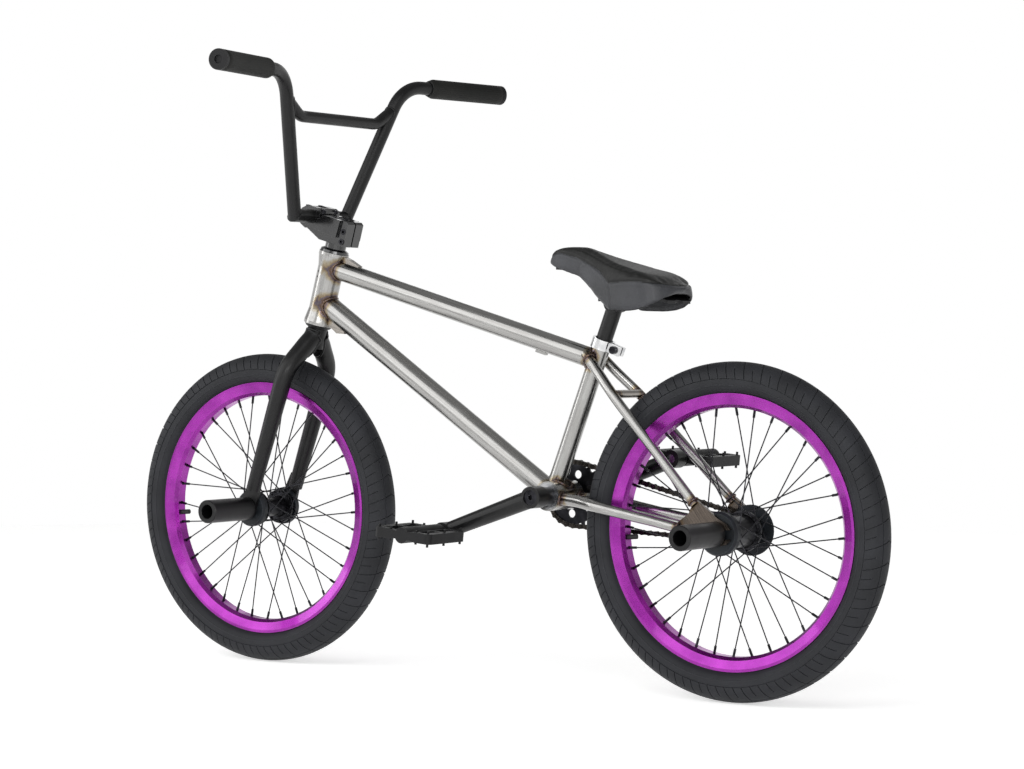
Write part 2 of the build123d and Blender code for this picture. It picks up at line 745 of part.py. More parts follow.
def make_rear_hub(plane):
    outer = rear_bearing[1] + fit
    outline = [
        (21.0, -22.0), (driver_bearing_r + fit, -23.0), (driver_bearing_r + fit, -31.0), (20.5, -31.0),
        (31.0, -29.2), (31.0, -25.8), (26.0, -24.6), (24.0, -17.0), (24.0, 24.0), (26.0, 32.2),
        (31.0, 33.4), (31.0, 36.6), (19.0, 37.4), (17.0, 41.0), (outer, 41.0),
        (outer, 33.0), (10.5, 32.0), (10.5, 29.0), (21.0, 27.0),
    ]
    return bored_hub(plane, outline, rear_flange, rear_hole_r)


def make_rear_bearings(plane):
    inner, outer, height = rear_bearing
    left = ring(plane, inner, outer, 33.5, 33.5 + height)
    right = ring(plane, driver_r + fit, driver_bearing_r, -30.8, -23.2)
    return left, right


# ---- axles, guards, nuts and pegs --------------------------------------------------------
peg_r = 19.0
peg_bore_r = 11.5
peg_length = 104.0
peg_end_wall = 9.0
front_outer = front_gap_half + dropout_thick
rear_outer = rear_gap_half + dropout_thick


def make_front_axle(plane):
    """Axle with the two cones that clamp the hub guards against the fork."""
    outline = [
        (0, -78), (fork_axle_r, -78), (fork_axle_r, -front_gap_half + fit), (8.2, -front_gap_half + fit),
        (8.2, -37.0), (fork_axle_r, -37.0), (fork_axle_r, 37.0), (8.2, 37.0), (8.2, front_gap_half - fit),
        (fork_axle_r, front_gap_half - fit), (fork_axle_r, 84.0), (0, 84.0),
    ]
    return turned(plane, outline)


def make_rear_axle(plane):
    outline = [
        (0, -84), (rear_axle_r, -84), (rear_axle_r, -51.0), (9.6, -51.0), (9.6, -50.0),
        (rear_axle_r, -50.0),
        (rear_axle_r, 41.2), (10.0, 41.2), (10.0, rear_gap_half - fit), (rear_axle_r, rear_gap_half - fit),
        (rear_axle_r, 92.0), (0, 92.0),
    ]
    return turned(plane, outline)


def make_front_guards(plane):
    guards = []
    for side in (1, -1):
        outline = [
            (8.2 + fit, 43.2), (22, 43.2), (27.2, 37.6), (30, 37.6), (30, 45.5), (27.5, 49.7),
            (8.2 + fit, 49.7),
        ]
        guards.append(turned(plane, [(r, side * y) for r, y in outline]))
    return guards


def make_rear_guards(plane):
    left = [
        (10.0 + fit, 47.5), (26, 47.5), (31, 42.0), (33.5, 42.0), (33.5, 50.0), (30.5, 54.7),
        (10.0 + fit, 54.7),
    ]
    right = [(rear_axle_r + fit, -51.2), (39, -51.2), (39, -52.8), (36, -54.7), (rear_axle_r + fit, -54.7)]
    return turned(plane, left), turned(plane, right)


def make_peg(plane, outer_y, axle_r):
    """Steel peg: a thick tube with an end wall that the axle nut clamps."""
    low = outer_y + apart
    high = outer_y + apart + peg_length
    outline = [
        (axle_r + fit, low), (peg_r - 1.5, low), (peg_r, low + 1.5), (peg_r, high - 1.5),
        (peg_r - 1.5, high), (peg_bore_r + 0.8, high), (peg_bore_r, high - 0.8),
        (peg_bore_r, low + peg_end_wall),
        (axle_r + fit, low + peg_end_wall),
    ]
    return turned(plane, outline)


def axle_nut(plane, flats, axle_r, low, high):
    """Hexagon nut with its washer face, on the side that low and high name."""
    nut = hex_prism(plane, flats, min(low, high), max(low, high))
    return nut - disc(plane, axle_r + fit, min(low, high) - 1, max(low, high) + 1)


def make_axle_nuts(plane, outer_y, axle_r, flats):
    peg_floor = outer_y + apart + peg_end_wall + fit
    inside_peg = axle_nut(plane, flats, axle_r, peg_floor, peg_floor + 8)
    washer = ring(plane, axle_r + fit, flats * 0.68, -outer_y - 2.0, -outer_y - fit)
    outside = axle_nut(plane, flats, axle_r, -outer_y - 10.0, -outer_y - 2.0 - fit)
    return inside_peg, washer, outside


# ---- drive ---------------------------------------------------------------------------------
sprocket_r = chain_pitch / (2 * sin(pi / sprocket_teeth))
driver_pitch_r = chain_pitch / (2 * sin(pi / driver_teeth))
roller_r = 3.88
roller_gap = 4.15
tooth_half = 1.5
plate_r = 4.1
inner_plate = (1.75, 2.75)
outer_plate = (2.9, 3.9)
pin_half = 4.6
pin_r = 1.8
axle_line = bottom_bracket - rear_axle
drive_length = axle_line.length
drive_tilt = asin((sprocket_r - driver_pitch_r) / drive_length)
drive_ahead = axle_line.normalized()
drive_up = Vector(-drive_ahead.Z, 0, drive_ahead.X)


def loop_point(centre, radius, angle):
    """Point on a pitch circle; the angle runs from ahead towards up."""
    return centre + (drive_ahead * cos(angle) + drive_up * sin(angle)) * radius


def chain_pins():
    """Pin centres around the loop, evenly spaced in pitches, from the rear driver's top."""
    top = pi / 2 + drive_tilt
    straight = drive_length * cos(drive_tilt) / chain_pitch
    front_wrap = (pi + 2 * drive_tilt) * sprocket_teeth / (2 * pi)
    rear_wrap = (pi - 2 * drive_tilt) * driver_teeth / (2 * pi)
    whole = 2 * straight + front_wrap + rear_wrap
    rear_top = loop_point(rear_axle, driver_pitch_r, top)
    front_top = loop_point(bottom_bracket, sprocket_r, top)
    front_low = loop_point(bottom_bracket, sprocket_r, -top)
    rear_low = loop_point(rear_axle, driver_pitch_r, -top)
    pins = []
    for link in range(chain_links):
        travel = link * whole / chain_links
        if travel < straight:
            pins.append(rear_top + (front_top - rear_top) * (travel / straight))
            continue
        travel -= straight
        if travel < front_wrap:
            pins.append(loop_point(bottom_bracket, sprocket_r, top - travel * 2 * pi / sprocket_teeth))
            continue
        travel -= front_wrap
        if travel < straight:
            pins.append(front_low + (rear_low - front_low) * (travel / straight))
            continue
        travel -= straight
        pins.append(loop_point(rear_axle, driver_pitch_r, 2 * pi - top - travel * 2 * pi / driver_teeth))
    return pins


def chain_plate():
    """One cranked link plate: narrow at its first pin, wide at its second."""
    lobes = Cylinder(plate_r, 20) + Pos(chain_pitch, 0, 0) * Cylinder(plate_r, 20)
    lobes += Pos(chain_pitch / 2, 0, 0) * Box(chain_pitch, plate_r * 1.5, 20)
    for at in (0, chain_pitch):
        lobes -= Pos(at, 0, 0) * Cylinder(pin_r + 0.1, 30)
    low, high = inner_plate
    far_low, far_high = outer_plate
    bend = 4.5
    strip = [
        (-9, low), (bend, low), (chain_pitch - bend, far_low), (22, far_low), (22, far_high),
        (chain_pitch - bend, far_high), (bend, high), (-9, high),
    ]
    band = extrude(Plane.XZ * make_face(Polyline(*strip, close=True)), 12, both=True)
    return lobes & band


def make_chain():
    """Half-link chain: every link is the same, a pair of cranked plates and a pin."""
    plate = chain_plate()
    other = mirror(plate, about=Plane.XY)
    pin = Cylinder(pin_r, 2 * pin_half) + Cylinder(roller_r, 2 * tooth_half + 0.2)
    pieces = []
    pins = chain_pins()
    for here, after in zip(pins, pins[1:] + pins[:1]):
        along = (after - here).normalized()
        link = Plane(origin=here + across * chain_y, x_dir=along, z_dir=across)
        pieces += [link * plate, link * other, link * pin]
    return pieces


def toothed(plane, teeth, pitch_r, first_turn, body, spread):
    """Cut roller seats around a blank, the first at first_turn degrees, opening by a spread."""
    tip = pitch_r + 8
    gap = Pos(pitch_r, 0, 0) * Cylinder(roller_gap, 12)
    flare = Polyline((pitch_r - 0.5, roller_gap - 0.05), (tip, roller_gap + spread), (tip, -roller_gap - spread),
                     (pitch_r - 0.5, -roller_gap + 0.05), close=True)
    gap += Pos(0, 0, -6) * extrude(make_face(flare), 12)
    local = plane.location.inverse() * body
    for tooth in range(teeth):
        local -= Rot(0, 0, first_turn + 360 * tooth / teeth) * gap
    return plane * local


def turn_of(plane, point):
    """Angle of a point about a plane's normal, in degrees from its x direction."""
    local = plane.to_local_coords(point)
    return Vector(1, 0, 0).get_signed_angle(Vector(local.X, local.Y, 0), Vector(0, 0, 1))


def nearest_pin(centre, radius):
    """A chain pin that lies on a pitch circle, midway round its wrap."""
    on_circle = [pin for pin in chain_pins() if abs((pin - centre).length - radius) < 0.02]
    return on_circle[len(on_circle) // 2]


def make_driver():
    """Driver with its teeth, and the freecoaster clutch cone on its inner thread."""
    plane = axle_plane(rear_axle + across * chain_y)
    blank = disc(plane, driver_pitch_r + 2.7, -tooth_half, tooth_half)
    pin = nearest_pin(rear_axle, driver_pitch_r)
    cog = toothed(plane, driver_teeth, driver_pitch_r, turn_of(plane, pin), blank, 5.2)
    wheel = axle_plane(rear_axle)
    cog += disc(wheel, driver_r, -49.5, -12)
    cog += disc(wheel, 13.6, -43.0, -31.6)
    cog -= disc(wheel, rear_axle_r + fit, -60, 0)
    clutch = turned(wheel, [(rear_axle_r + 1, -11.5), (17.5, -11.5), (19.8, 12), (rear_axle_r + 1, 12)])
    return cog, clutch


crank_r = (14.6, 12.2)
crank_boss_r = 17.0
crank_wall = 2.4
crank_y = 71.8
crank_outer_y = 85.0
spindle_r = 11.0
pedal_axle_r = 7.1
crank_dir = Vector(cos(radians(crank_drop)), 0, -sin(radians(crank_drop)))
pedal_y = 145.0
pedal_half_length = 52.5
pedal_half_width = 50.0
pedal_tilt = 5.0


def make_crank_arm(side):
    """Tubular arm with its spindle boss and pedal boss, for one side."""
    toward = crank_dir * side
    foot = bottom_bracket + across * (side * crank_y)
    end = bottom_bracket + toward * crank_length + across * (side * (crank_y + 3))
    middle = Plane(origin=foot, x_dir=across, z_dir=end - foot)
    tip = Plane(origin=end, x_dir=across, z_dir=end - foot)
    arm = loft([middle * Circle(crank_r[0]), tip * Circle(crank_r[1])])
    start = middle.offset(crank_boss_r + 3)
    hollow = loft([start * Circle(crank_r[0] - crank_wall), tip * Circle(crank_r[1] - crank_wall)])
    boss = (bottom_bracket + across * (side * 57), bottom_bracket + across * (side * crank_outer_y))
    arm = arm + rod(*boss, crank_boss_r)
    eye = bottom_bracket + toward * crank_length
    arm += rod(eye + across * (side * 61), eye + across * (side * 87), 14.5)
    arm -= hollow
    inner = bottom_bracket + across * (side * 50)
    arm -= rod(inner, bottom_bracket + across * (side * 78), spindle_r + fit)
    arm -= rod(bottom_bracket + across * (side * 70), bottom_bracket + across * (side * 90), 12.0)
    arm -= rod(eye + across * (side * 55), eye + across * (side * 90), pedal_axle_r + fit)
    if side < 0:
        arm -= sprocket_bolt(4.1)
    return arm


def sprocket_bolt(radius):
    """Bolt that ties the sprocket to the drive-side arm."""
    at = bottom_bracket - crank_dir * 30
    return rod(at + across * -42.6, at + across * -66, radius)


def make_crank_spindle():
    """Splined spindle and its two spacer tubes."""
    plane = axle_plane(bottom_bracket)
    spindle = disc(plane, spindle_r, -76, 76)
    left = ring(plane, spindle_r + fit, 14.5, bb_shell_half + apart, 56.7)
    right = ring(plane, spindle_r + fit, 14.5, -41.2, -bb_shell_half - apart)
    return spindle, left, right


def make_crank_bolts():
    bolts = []
    for side in (1, -1):
        low = bottom_bracket + across * (side * 76.3)
        high = bottom_bracket + across * (side * 83.5)
        bolts.append(rod(low, high, 11.6) - hex_prism(Plane(origin=high, z_dir=across * side), 8, -5, 1))
    bolts.append(sprocket_bolt(4.0))
    return bolts


def make_sprocket():
    """Twenty-five tooth sprocket with round windows between its hub and rim."""
    plane = axle_plane(bottom_bracket + across * chain_y)
    blank = disc(plane, sprocket_r + 3.4, -tooth_half, tooth_half)
    pin = nearest_pin(bottom_bracket, sprocket_r)
    wheel = toothed(plane, sprocket_teeth, sprocket_r, turn_of(plane, pin), blank, 3.4)
    wheel += disc(plane, 17.0, -10.6, 4.6)
    window = disc(plane, 6.6, -4, 4)
    offset = plane.location.inverse() * window
    first = turn_of(plane, plane.origin - crank_dir)
    for step in range(1, 6):
        wheel -= plane * (Rot(0, 0, first + 60 * step) * (Pos(31.5, 0, 0) * offset))
    wheel -= disc(plane, spindle_r + fit, -20, 20)
    return wheel - sprocket_bolt(4.1)


def make_bb_bearings():
    plane = axle_plane(bottom_bracket)
    low = bb_shell_half - 8.5
    return (ring(plane, spindle_r + fit, bb_bearing_r, low, bb_shell_half),
            ring(plane, spindle_r + fit, bb_bearing_r, -bb_shell_half, -low))


def pedal_axle(side):
    return bottom_bracket + crank_dir * (side * crank_length)


def make_pedal_spindle(side):
    eye = pedal_axle(side)
    outline_plane = axle_plane(eye)
    steps = [
        (0, 66), (pedal_axle_r, 66), (pedal_axle_r, 87.3), (9.5, 87.3), (9.5, 93.5), (6.0, 94.5),
        (6.0, 189), (0, 189),
    ]
    return turned(outline_plane, [(r, side * y) for r, y in steps])


def make_pedal(side):
    """Moulded platform: two end plates, front and rear rails, ribs and grip pins."""
    centre = pedal_axle(side) + across * (side * pedal_y)
    lift = radians(pedal_tilt)
    flat_plane = Plane(origin=centre, x_dir=(cos(lift), 0, sin(lift)), z_dir=(-sin(lift), 0, cos(lift)))
    thick = 16.0
    body = extrude(RectangleRounded(2 * pedal_half_length, 2 * pedal_half_width, 9), thick / 2, both=True)
    dish = Plane.XZ * (Pos(0, 150 + thick / 2 - 2.2, 0) * Circle(150))
    dish = extrude(dish, 80, both=True)
    body = body - dish - mirror(dish, about=Plane.XY)
    for front in (1, -1):
        for half in (1, -1):
            body -= Pos(front * 29, half * 21.5, 0) * Box(22, 37, 40)
    barrel = Rot(90, 0, 0) * Cylinder(12.5, 2 * pedal_half_width)
    body += barrel
    body -= Pos(0, -side * 3, 0) * (Rot(90, 0, 0) * Cylinder(6.0 + fit, 2 * pedal_half_width))
    for face in (1, -1):
        for x in (-46, -24, 24, 46):
            for y in (-44, 0, 44):
                if abs(x) > 30 or y != 0:
                    base = thick / 2 - 4 + (x * x) / 900
                    pin = Cylinder(1.9, 6.5, align=(Align.CENTER, Align.CENTER, Align.MIN))
                    pin = Pos(x, y, base) * pin
                    body += pin if face > 0 else mirror(pin, about=Plane.XY)
    return flat_plane * body


# ---- write the nodes -----------------------------------------------------------------------
def write_frame():
    top_solid = rod(top_tube_front, top_tube_rear, top_tube_r)
    down_top = steer.from_local_coords((0, 0, -22.1))
    down_solid = rod(down_top, Vector(bottom_bracket.X, 0, 293.4), down_tube_r)
    plate = rear_plate()
    chainstay = make_chainstay(plate)
    seatstay = make_seatstay(plate, top_solid)
    save("head_tube", make_head_tube())
    save("top_tube", make_top_tube())
    save("down_tube", make_down_tube())
    save("seat_tube", make_seat_tube())
    save("bb_shell", make_bb_shell())
    save("chainstay_left", chainstay)
    save("chainstay_right", mirrored(chainstay))
    save("seatstay_left", seatstay)
    save("seatstay_right", mirrored(seatstay))
    save("rear_dropouts", plate, mirrored(plate))
    save("gussets_and_bridges", *make_gussets_and_bridges(top_solid, down_solid, chainstay, seatstay))
    save("seat_clamp", make_seat_clamp())
    save("seat_clamp_bolt", make_seat_clamp_bolt(3.5, 6.1))
    save("headset_bearings", make_headset_bearings())
    save("bb_bearings", make_bb_bearings())


def write_rear_axle_parts():
    plane = axle_plane(rear_axle)
    save("rear_axle", make_rear_axle(plane))
    save("rear_axle_nuts", make_axle_nuts(plane, rear_outer, rear_axle_r, 17))
    save("rear_hub_guards", make_rear_guards(plane))
    save("rear_peg", make_peg(plane, rear_outer, rear_axle_r))
    save("chain", make_chain())
    save("rear_driver", make_driver())


def write_fork():
    steerer = make_fork_steerer()
    filled = rod(fork_point(0, 0, steerer_low), fork_point(0, 0, steerer_high), steerer_r + 2.2)
    leg = make_fork_leg(filled)
    plane = axle_plane(front_axle)
    save("fork_steerer", steerer)
    save("fork_leg_left", leg)
    save("fork_leg_right", mirrored(leg))
    save("headset_cover", make_headset_cover())
    save("stem_body", make_stem_body())
    save("stem_cap", make_stem_cap())
    save("stem_bolts", make_stem_bolts())
    save("front_axle", make_front_axle(plane))
    save("front_axle_nuts", make_axle_nuts(plane, front_outer, fork_axle_r, 15))
    save("front_hub_guards", make_front_guards(plane))
    save("front_peg", make_peg(plane, front_outer, fork_axle_r))


def write_bars():
    grip = make_grip()
    plug = make_bar_end()
    save("handlebar", make_handlebar())
    save("grip_left", grip)
    save("grip_right", mirrored(grip))
    save("bar_ends", plug, mirrored(plug))


def write_wheel(name, plane, hub, bearings, flange_y, flange_hole_r):
    save(f"{name}_hub", hub)
    save(f"{name}_hub_bearings", bearings)
    save(f"{name}_spokes", make_spokes(plane, flange_y, flange_hole_r))
    save(f"{name}_rim", make_rim(plane))
    save(f"{name}_tyre", make_tyre(plane))
    save(f"{name}_inner_tube", make_inner_tube(plane))


def write_wheels():
    front = axle_plane(front_axle)
    rear = axle_plane(rear_axle)
    inner, outer, height = front_bearing
    pair = [ring(front, inner, outer, side * 36.3, side * (36.3 - height)) for side in (1, -1)]
    write_wheel("front", front, make_front_hub(front), pair, front_flange, front_hole_r)
    write_wheel("rear", rear, make_rear_hub(rear), make_rear_bearings(rear), rear_flange, rear_hole_r)


def write_cranks():
    save("crank_spindle", make_crank_spindle())
    save("crank_arm_left", make_crank_arm(1))
    save("crank_arm_right", make_crank_arm(-1))
    save("sprocket", make_sprocket())
    save("crank_bolts", make_crank_bolts())
    save("pedal_spindles", make_pedal_spindle(1), make_pedal_spindle(-1))
    save("pedal_left", make_pedal(1))
    save("pedal_right", make_pedal(-1))


def write_seat():
    save("seat_post", make_seat_post())
    save("seat_base", make_seat_base())
    save("seat_pad", make_seat_pad())
    save("seat_bolt", make_seat_bolt(4.0))


write_frame()
write_rear_axle_parts()
write_fork()
write_bars()
write_wheels()
write_cranks()
write_seat()
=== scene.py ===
"""Looks for the BMX bike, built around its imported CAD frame.

Blender works in metres. The frame is +X forward, +Y the bike's left and +Z up.
"""

import math

import bpy
import numpy as np
from mathutils import Matrix, Vector
from mathutils.bvhtree import BVHTree
from mathutils.kdtree import KDTree


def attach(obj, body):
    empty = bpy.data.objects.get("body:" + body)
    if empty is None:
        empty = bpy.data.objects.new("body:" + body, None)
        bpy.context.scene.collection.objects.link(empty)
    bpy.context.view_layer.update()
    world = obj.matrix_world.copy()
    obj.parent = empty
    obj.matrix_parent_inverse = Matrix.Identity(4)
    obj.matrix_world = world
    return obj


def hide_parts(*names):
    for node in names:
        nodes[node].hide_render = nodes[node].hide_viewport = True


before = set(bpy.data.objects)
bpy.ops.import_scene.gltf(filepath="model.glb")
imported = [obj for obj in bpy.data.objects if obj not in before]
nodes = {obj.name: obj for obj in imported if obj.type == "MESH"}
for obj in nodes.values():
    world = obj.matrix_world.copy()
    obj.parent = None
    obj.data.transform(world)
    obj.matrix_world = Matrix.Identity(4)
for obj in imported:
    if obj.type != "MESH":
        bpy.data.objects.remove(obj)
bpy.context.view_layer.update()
MM = 0.001


# ---- colour and nodes -----------------------------------------------------------------
def linear(code):
    """Linear RGBA of an sRGB hex colour."""
    parts = [int(code[i:i + 2], 16) / 255 for i in (1, 3, 5)]
    curve = [c / 12.92 if c <= 0.04045 else ((c + 0.055) / 1.055) ** 2.4 for c in parts]
    return (*curve, 1.0)


def per(millimetres):
    """Texture scale that gives one feature per so many millimetres."""
    return 1000.0 / millimetres


def add(tree, kind, inputs=None, out=0, stops=(), **settings):
    """Adds a node and gives back one output.

    Inputs are values or sockets to link, stops fill a colour ramp, and settings are the node's own.
    """
    node = tree.nodes.new("ShaderNode" + kind)
    for key, value in settings.items():
        setattr(node, key, value)
    for key, value in (inputs or {}).items():
        if isinstance(value, bpy.types.NodeSocket):
            tree.links.new(value, node.inputs[key])
        else:
            node.inputs[key].default_value = value
    for index, (position, colour) in enumerate(stops):
        elements = node.color_ramp.elements
        element = elements[index] if index < 2 else elements.new(position)
        element.position = position
        element.color = colour
    return None if out is None else node.outputs[out]


def open_material(name):
    """A new empty material, its node tree and its object coordinates in metres."""
    material = bpy.data.materials.new(name)
    material.use_nodes = True
    tree = material.node_tree
    tree.nodes.clear()
    return material, tree, add(tree, "TexCoord", out="Object")


def close_material(tree, sockets):
    """Joins the finished surface to the material's output."""
    surface = add(tree, "BsdfPrincipled", sockets, "BSDF")
    add(tree, "OutputMaterial", {"Surface": surface}, out=None)


def two_tone(dark, light):
    """Ramp stops that spread a noise, centred on a half, over two hex colours."""
    return [(0.32, linear(dark)), (0.68, linear(light))]


def spread(value, low, high):
    """Map Range inputs that spread a noise, centred on a half, from low to high."""
    return {"Value": value, "From Min": 0.3, "From Max": 0.7, "To Min": low, "To Max": high}


def edge_wear(tree, radius, amount):
    """Grows to the amount along sharp outer edges, where handling rubs the surface."""
    soft = add(tree, "Bevel", {"Radius": radius * MM}, samples=4)
    true = add(tree, "NewGeometry", out="Normal")
    same = add(tree, "VectorMath", {0: soft, 1: true}, "Value", operation="DOT_PRODUCT")
    worn = {"Value": same, "From Min": 0.99, "From Max": 0.90, "To Max": amount}
    return add(tree, "MapRange", worn)


def from_skin(tree, place, bar):
    """Distance of a point from a round bar's skin, and how far along the bar it is, in metres."""
    centre, axis, radius = bar
    middle = tuple(c * MM for c in centre)
    offset = add(tree, "VectorMath", {0: place, 1: middle}, operation="SUBTRACT")
    towards = tuple(Vector(axis).normalized())
    along = add(tree, "VectorMath", {0: offset, 1: towards}, "Value", operation="DOT_PRODUCT")
    reach = add(tree, "VectorMath", {0: offset, 1: offset}, "Value", operation="DOT_PRODUCT")
    along_squared = add(tree, "Math", {0: along, 1: along}, operation="MULTIPLY")
    rest = add(tree, "Math", {0: reach, 1: along_squared}, operation="SUBTRACT")
    from_axis = add(tree, "Math", {0: rest}, operation="SQRT")
    return add(tree, "Math", {0: from_axis, 1: radius * MM}, operation="SUBTRACT"), along


def distance_to_welds(tree, place, welds):
    """Distance in metres from the nearest weld.

    A weld is a ring round one bar, or the line where a bar's skin meets a second bar's skin on
    the side that the first bar's axis points away from.
    """
    nearest = None
    for bar, *other in welds:
        aside, along = from_skin(tree, place, bar)
        across = from_skin(tree, place, other[0])[0] if other else along
        across_squared = add(tree, "Math", {0: across, 1: across}, operation="MULTIPLY")
        sides = {0: aside, 1: aside, 2: across_squared}
        squared = add(tree, "Math", sides, operation="MULTIPLY_ADD")
        gap = add(tree, "Math", {0: squared}, operation="SQRT")
        if other:
            beyond = add(tree, "Math", {0: along, 1: 0.0}, operation="MAXIMUM")
            gap = add(tree, "Math", {0: gap, 1: beyond}, operation="ADD")
        if nearest is None:
            nearest = gap
        else:
            nearest = add(tree, "Math", {0: nearest, 1: gap}, operation="MINIMUM")
    return nearest


def along_axis(tree, place, axis, long_size, fine_size):
    """Coordinates stretched along an axis, for brushed grain: one unit is one feature."""
    axis = Vector(axis).normalized()
    side = axis.orthogonal().normalized()
    third = axis.cross(side)
    directions = ((axis, long_size), (side, fine_size), (third, fine_size))
    parts = {}
    for index, (direction, size) in enumerate(directions):
        values = {0: place, 1: tuple(c * per(size) for c in direction)}
        parts[index] = add(tree, "VectorMath", values, "Value", operation="DOT_PRODUCT")
    return add(tree, "CombineXYZ", parts)


# ---- materials ------------------------------------------------------------------------
HEAT_REACH = 13.0                  # the torch colours the steel this far from a weld
HEAT_COLOURS = [
    (0.00, linear("#4a352a")), (0.16, linear("#7d5a42")), (0.28, linear("#84788a")),
    (0.40, linear("#bda27a")), (0.58, linear("#e4d6ba")), (0.85, linear("#ffffff")),
]


def raw_steel(name, axis, welds, dark="#918f8d", light="#a9a9a7"):
    """Chromoly tube, brushed along its length and sealed under clear lacquer.

    Brown, blue and straw bands fade out from each weld, and the lacquer keeps the bare steel
    bright, so highlights run lengthwise as sharp white lines over a grey body.
    """
    material, tree, place = open_material(name)
    # brushing lines are finer than this; 1.6 mm is as coarse as they need to be to show
    lengthwise = along_axis(tree, place, axis, 60.0, 1.6)
    lines = {"Vector": lengthwise, "Scale": 1.0, "Detail": 4.0, "Roughness": 0.6}
    grain = add(tree, "TexNoise", lines)
    cloud = add(tree, "TexNoise", {"Vector": place, "Scale": per(34.0), "Detail": 3.0})
    steel = add(tree, "ValToRGB", {"Fac": grain}, stops=two_tone(dark, light))
    wander = add(tree, "TexNoise", {"Vector": place, "Scale": per(8.0), "Detail": 2.0})
    weld_gap = distance_to_welds(tree, place, welds)
    gap = add(tree, "Math", {0: wander, 1: 0.007, 2: weld_gap}, operation="MULTIPLY_ADD")
    span = {"Value": gap, "From Min": 0.0035, "From Max": 0.0035 + HEAT_REACH * MM}
    heat = add(tree, "ValToRGB", {"Fac": add(tree, "MapRange", span)}, stops=HEAT_COLOURS)
    layers = {"Factor": 0.95, 6: steel, 7: heat}
    tinted = add(tree, "Mix", layers, 2, data_type="RGBA", blend_type="MULTIPLY")
    brushed = spread(grain, 0.20, 0.27)
    smudged = spread(cloud, -0.02, 0.05)
    parts = {0: add(tree, "MapRange", brushed), 1: add(tree, "MapRange", smudged)}
    rough = add(tree, "Math", parts, operation="ADD")
    drawn = add(tree, "Bump", {"Height": cloud, "Distance": 0.10 * MM, "Strength": 0.35})
    close_material(tree, {
        "Base Color": tinted, "Roughness": rough, "Normal": drawn,
        "Metallic": 1.0, "Coat Weight": 0.35, "Coat Roughness": 0.05,
    })
    return material


def weld_metal(name):
    """TIG weld bead: stacked ripples of filler, oxidised dark bronze with blue flecks."""
    material, tree, place = open_material(name)
    fleck = add(tree, "TexNoise", {"Vector": place, "Scale": per(3.0), "Detail": 3.0})
    oxides = [(0.30, linear("#33261f")), (0.50, linear("#6a5544")),
              (0.62, linear("#4a4552")), (0.80, linear("#8f7858"))]
    colour = add(tree, "ValToRGB", {"Fac": fleck}, stops=oxides)
    rough = spread(fleck, 0.24, 0.44)
    scale_skin = add(tree, "TexNoise", {"Vector": place, "Scale": per(0.9), "Detail": 2.0})
    pitted = add(tree, "Bump", {"Height": scale_skin, "Distance": 0.05 * MM, "Strength": 0.4})
    close_material(tree, {
        "Base Color": colour, "Roughness": add(tree, "MapRange", rough), "Normal": pitted,
        "Metallic": 1.0, "Coat Weight": 0.3, "Coat Roughness": 0.1,
    })
    return material


def coated(name, base, light, rough, coat, skin_size, skin_depth, worn, wear=0.35, shine=0.3):
    """Black skin over metal or moulded plastic.

    It has a fine surface texture of the given size in millimetres, dusty patches about 22 mm
    across, and edges that handling has rubbed paler.
    """
    material, tree, place = open_material(name)
    cloud = add(tree, "TexNoise", {"Vector": place, "Scale": per(22.0), "Detail": 5.0})
    skin = add(tree, "TexNoise", {"Vector": place, "Scale": per(skin_size), "Detail": 2.0})
    paint = add(tree, "ValToRGB", {"Fac": cloud}, stops=two_tone(base, light))
    layers = {"Factor": edge_wear(tree, 1.2, wear), 6: paint, 7: linear(worn)}
    colour = add(tree, "Mix", layers, 2, data_type="RGBA")
    span = spread(cloud, rough - 0.05, rough + 0.06)
    textured = add(tree, "Bump", {"Height": skin, "Distance": skin_depth * MM, "Strength": 0.4})
    close_material(tree, {
        "Base Color": colour, "Roughness": add(tree, "MapRange", span), "Normal": textured,
        "IOR": 1.5, "Specular IOR Level": shine, "Coat Weight": coat, "Coat Roughness": 0.08,
    })
    return material


def bare_metal(name, dark, light, rough, mark_size=1.2, rubbed="#a9a9a7"):
    """Turned, plated or oxidised metal: fine tool marks, cloudy tone, brighter along rubbed edges.

    Real tool marks are about 0.1 mm apart, so they are drawn as coarse as they need to be to show.
    """
    material, tree, place = open_material(name)
    marks = add(tree, "TexNoise", {"Vector": place, "Scale": per(mark_size), "Detail": 4.0})
    cloud = add(tree, "TexNoise", {"Vector": place, "Scale": per(14.0), "Detail": 3.0})
    metal = add(tree, "ValToRGB", {"Fac": cloud}, stops=two_tone(dark, light))
    layers = {"Factor": edge_wear(tree, 0.8, 0.55), 6: metal, 7: linear(rubbed)}
    colour = add(tree, "Mix", layers, 2, data_type="RGBA")
    span = spread(marks, rough - 0.06, rough + 0.08)
    turned = add(tree, "Bump", {"Height": marks, "Distance": 0.02 * MM, "Strength": 0.3})
    close_material(tree, {
        "Base Color": colour, "Roughness": add(tree, "MapRange", span), "Normal": turned,
        "Metallic": 1.0,
    })
    return material


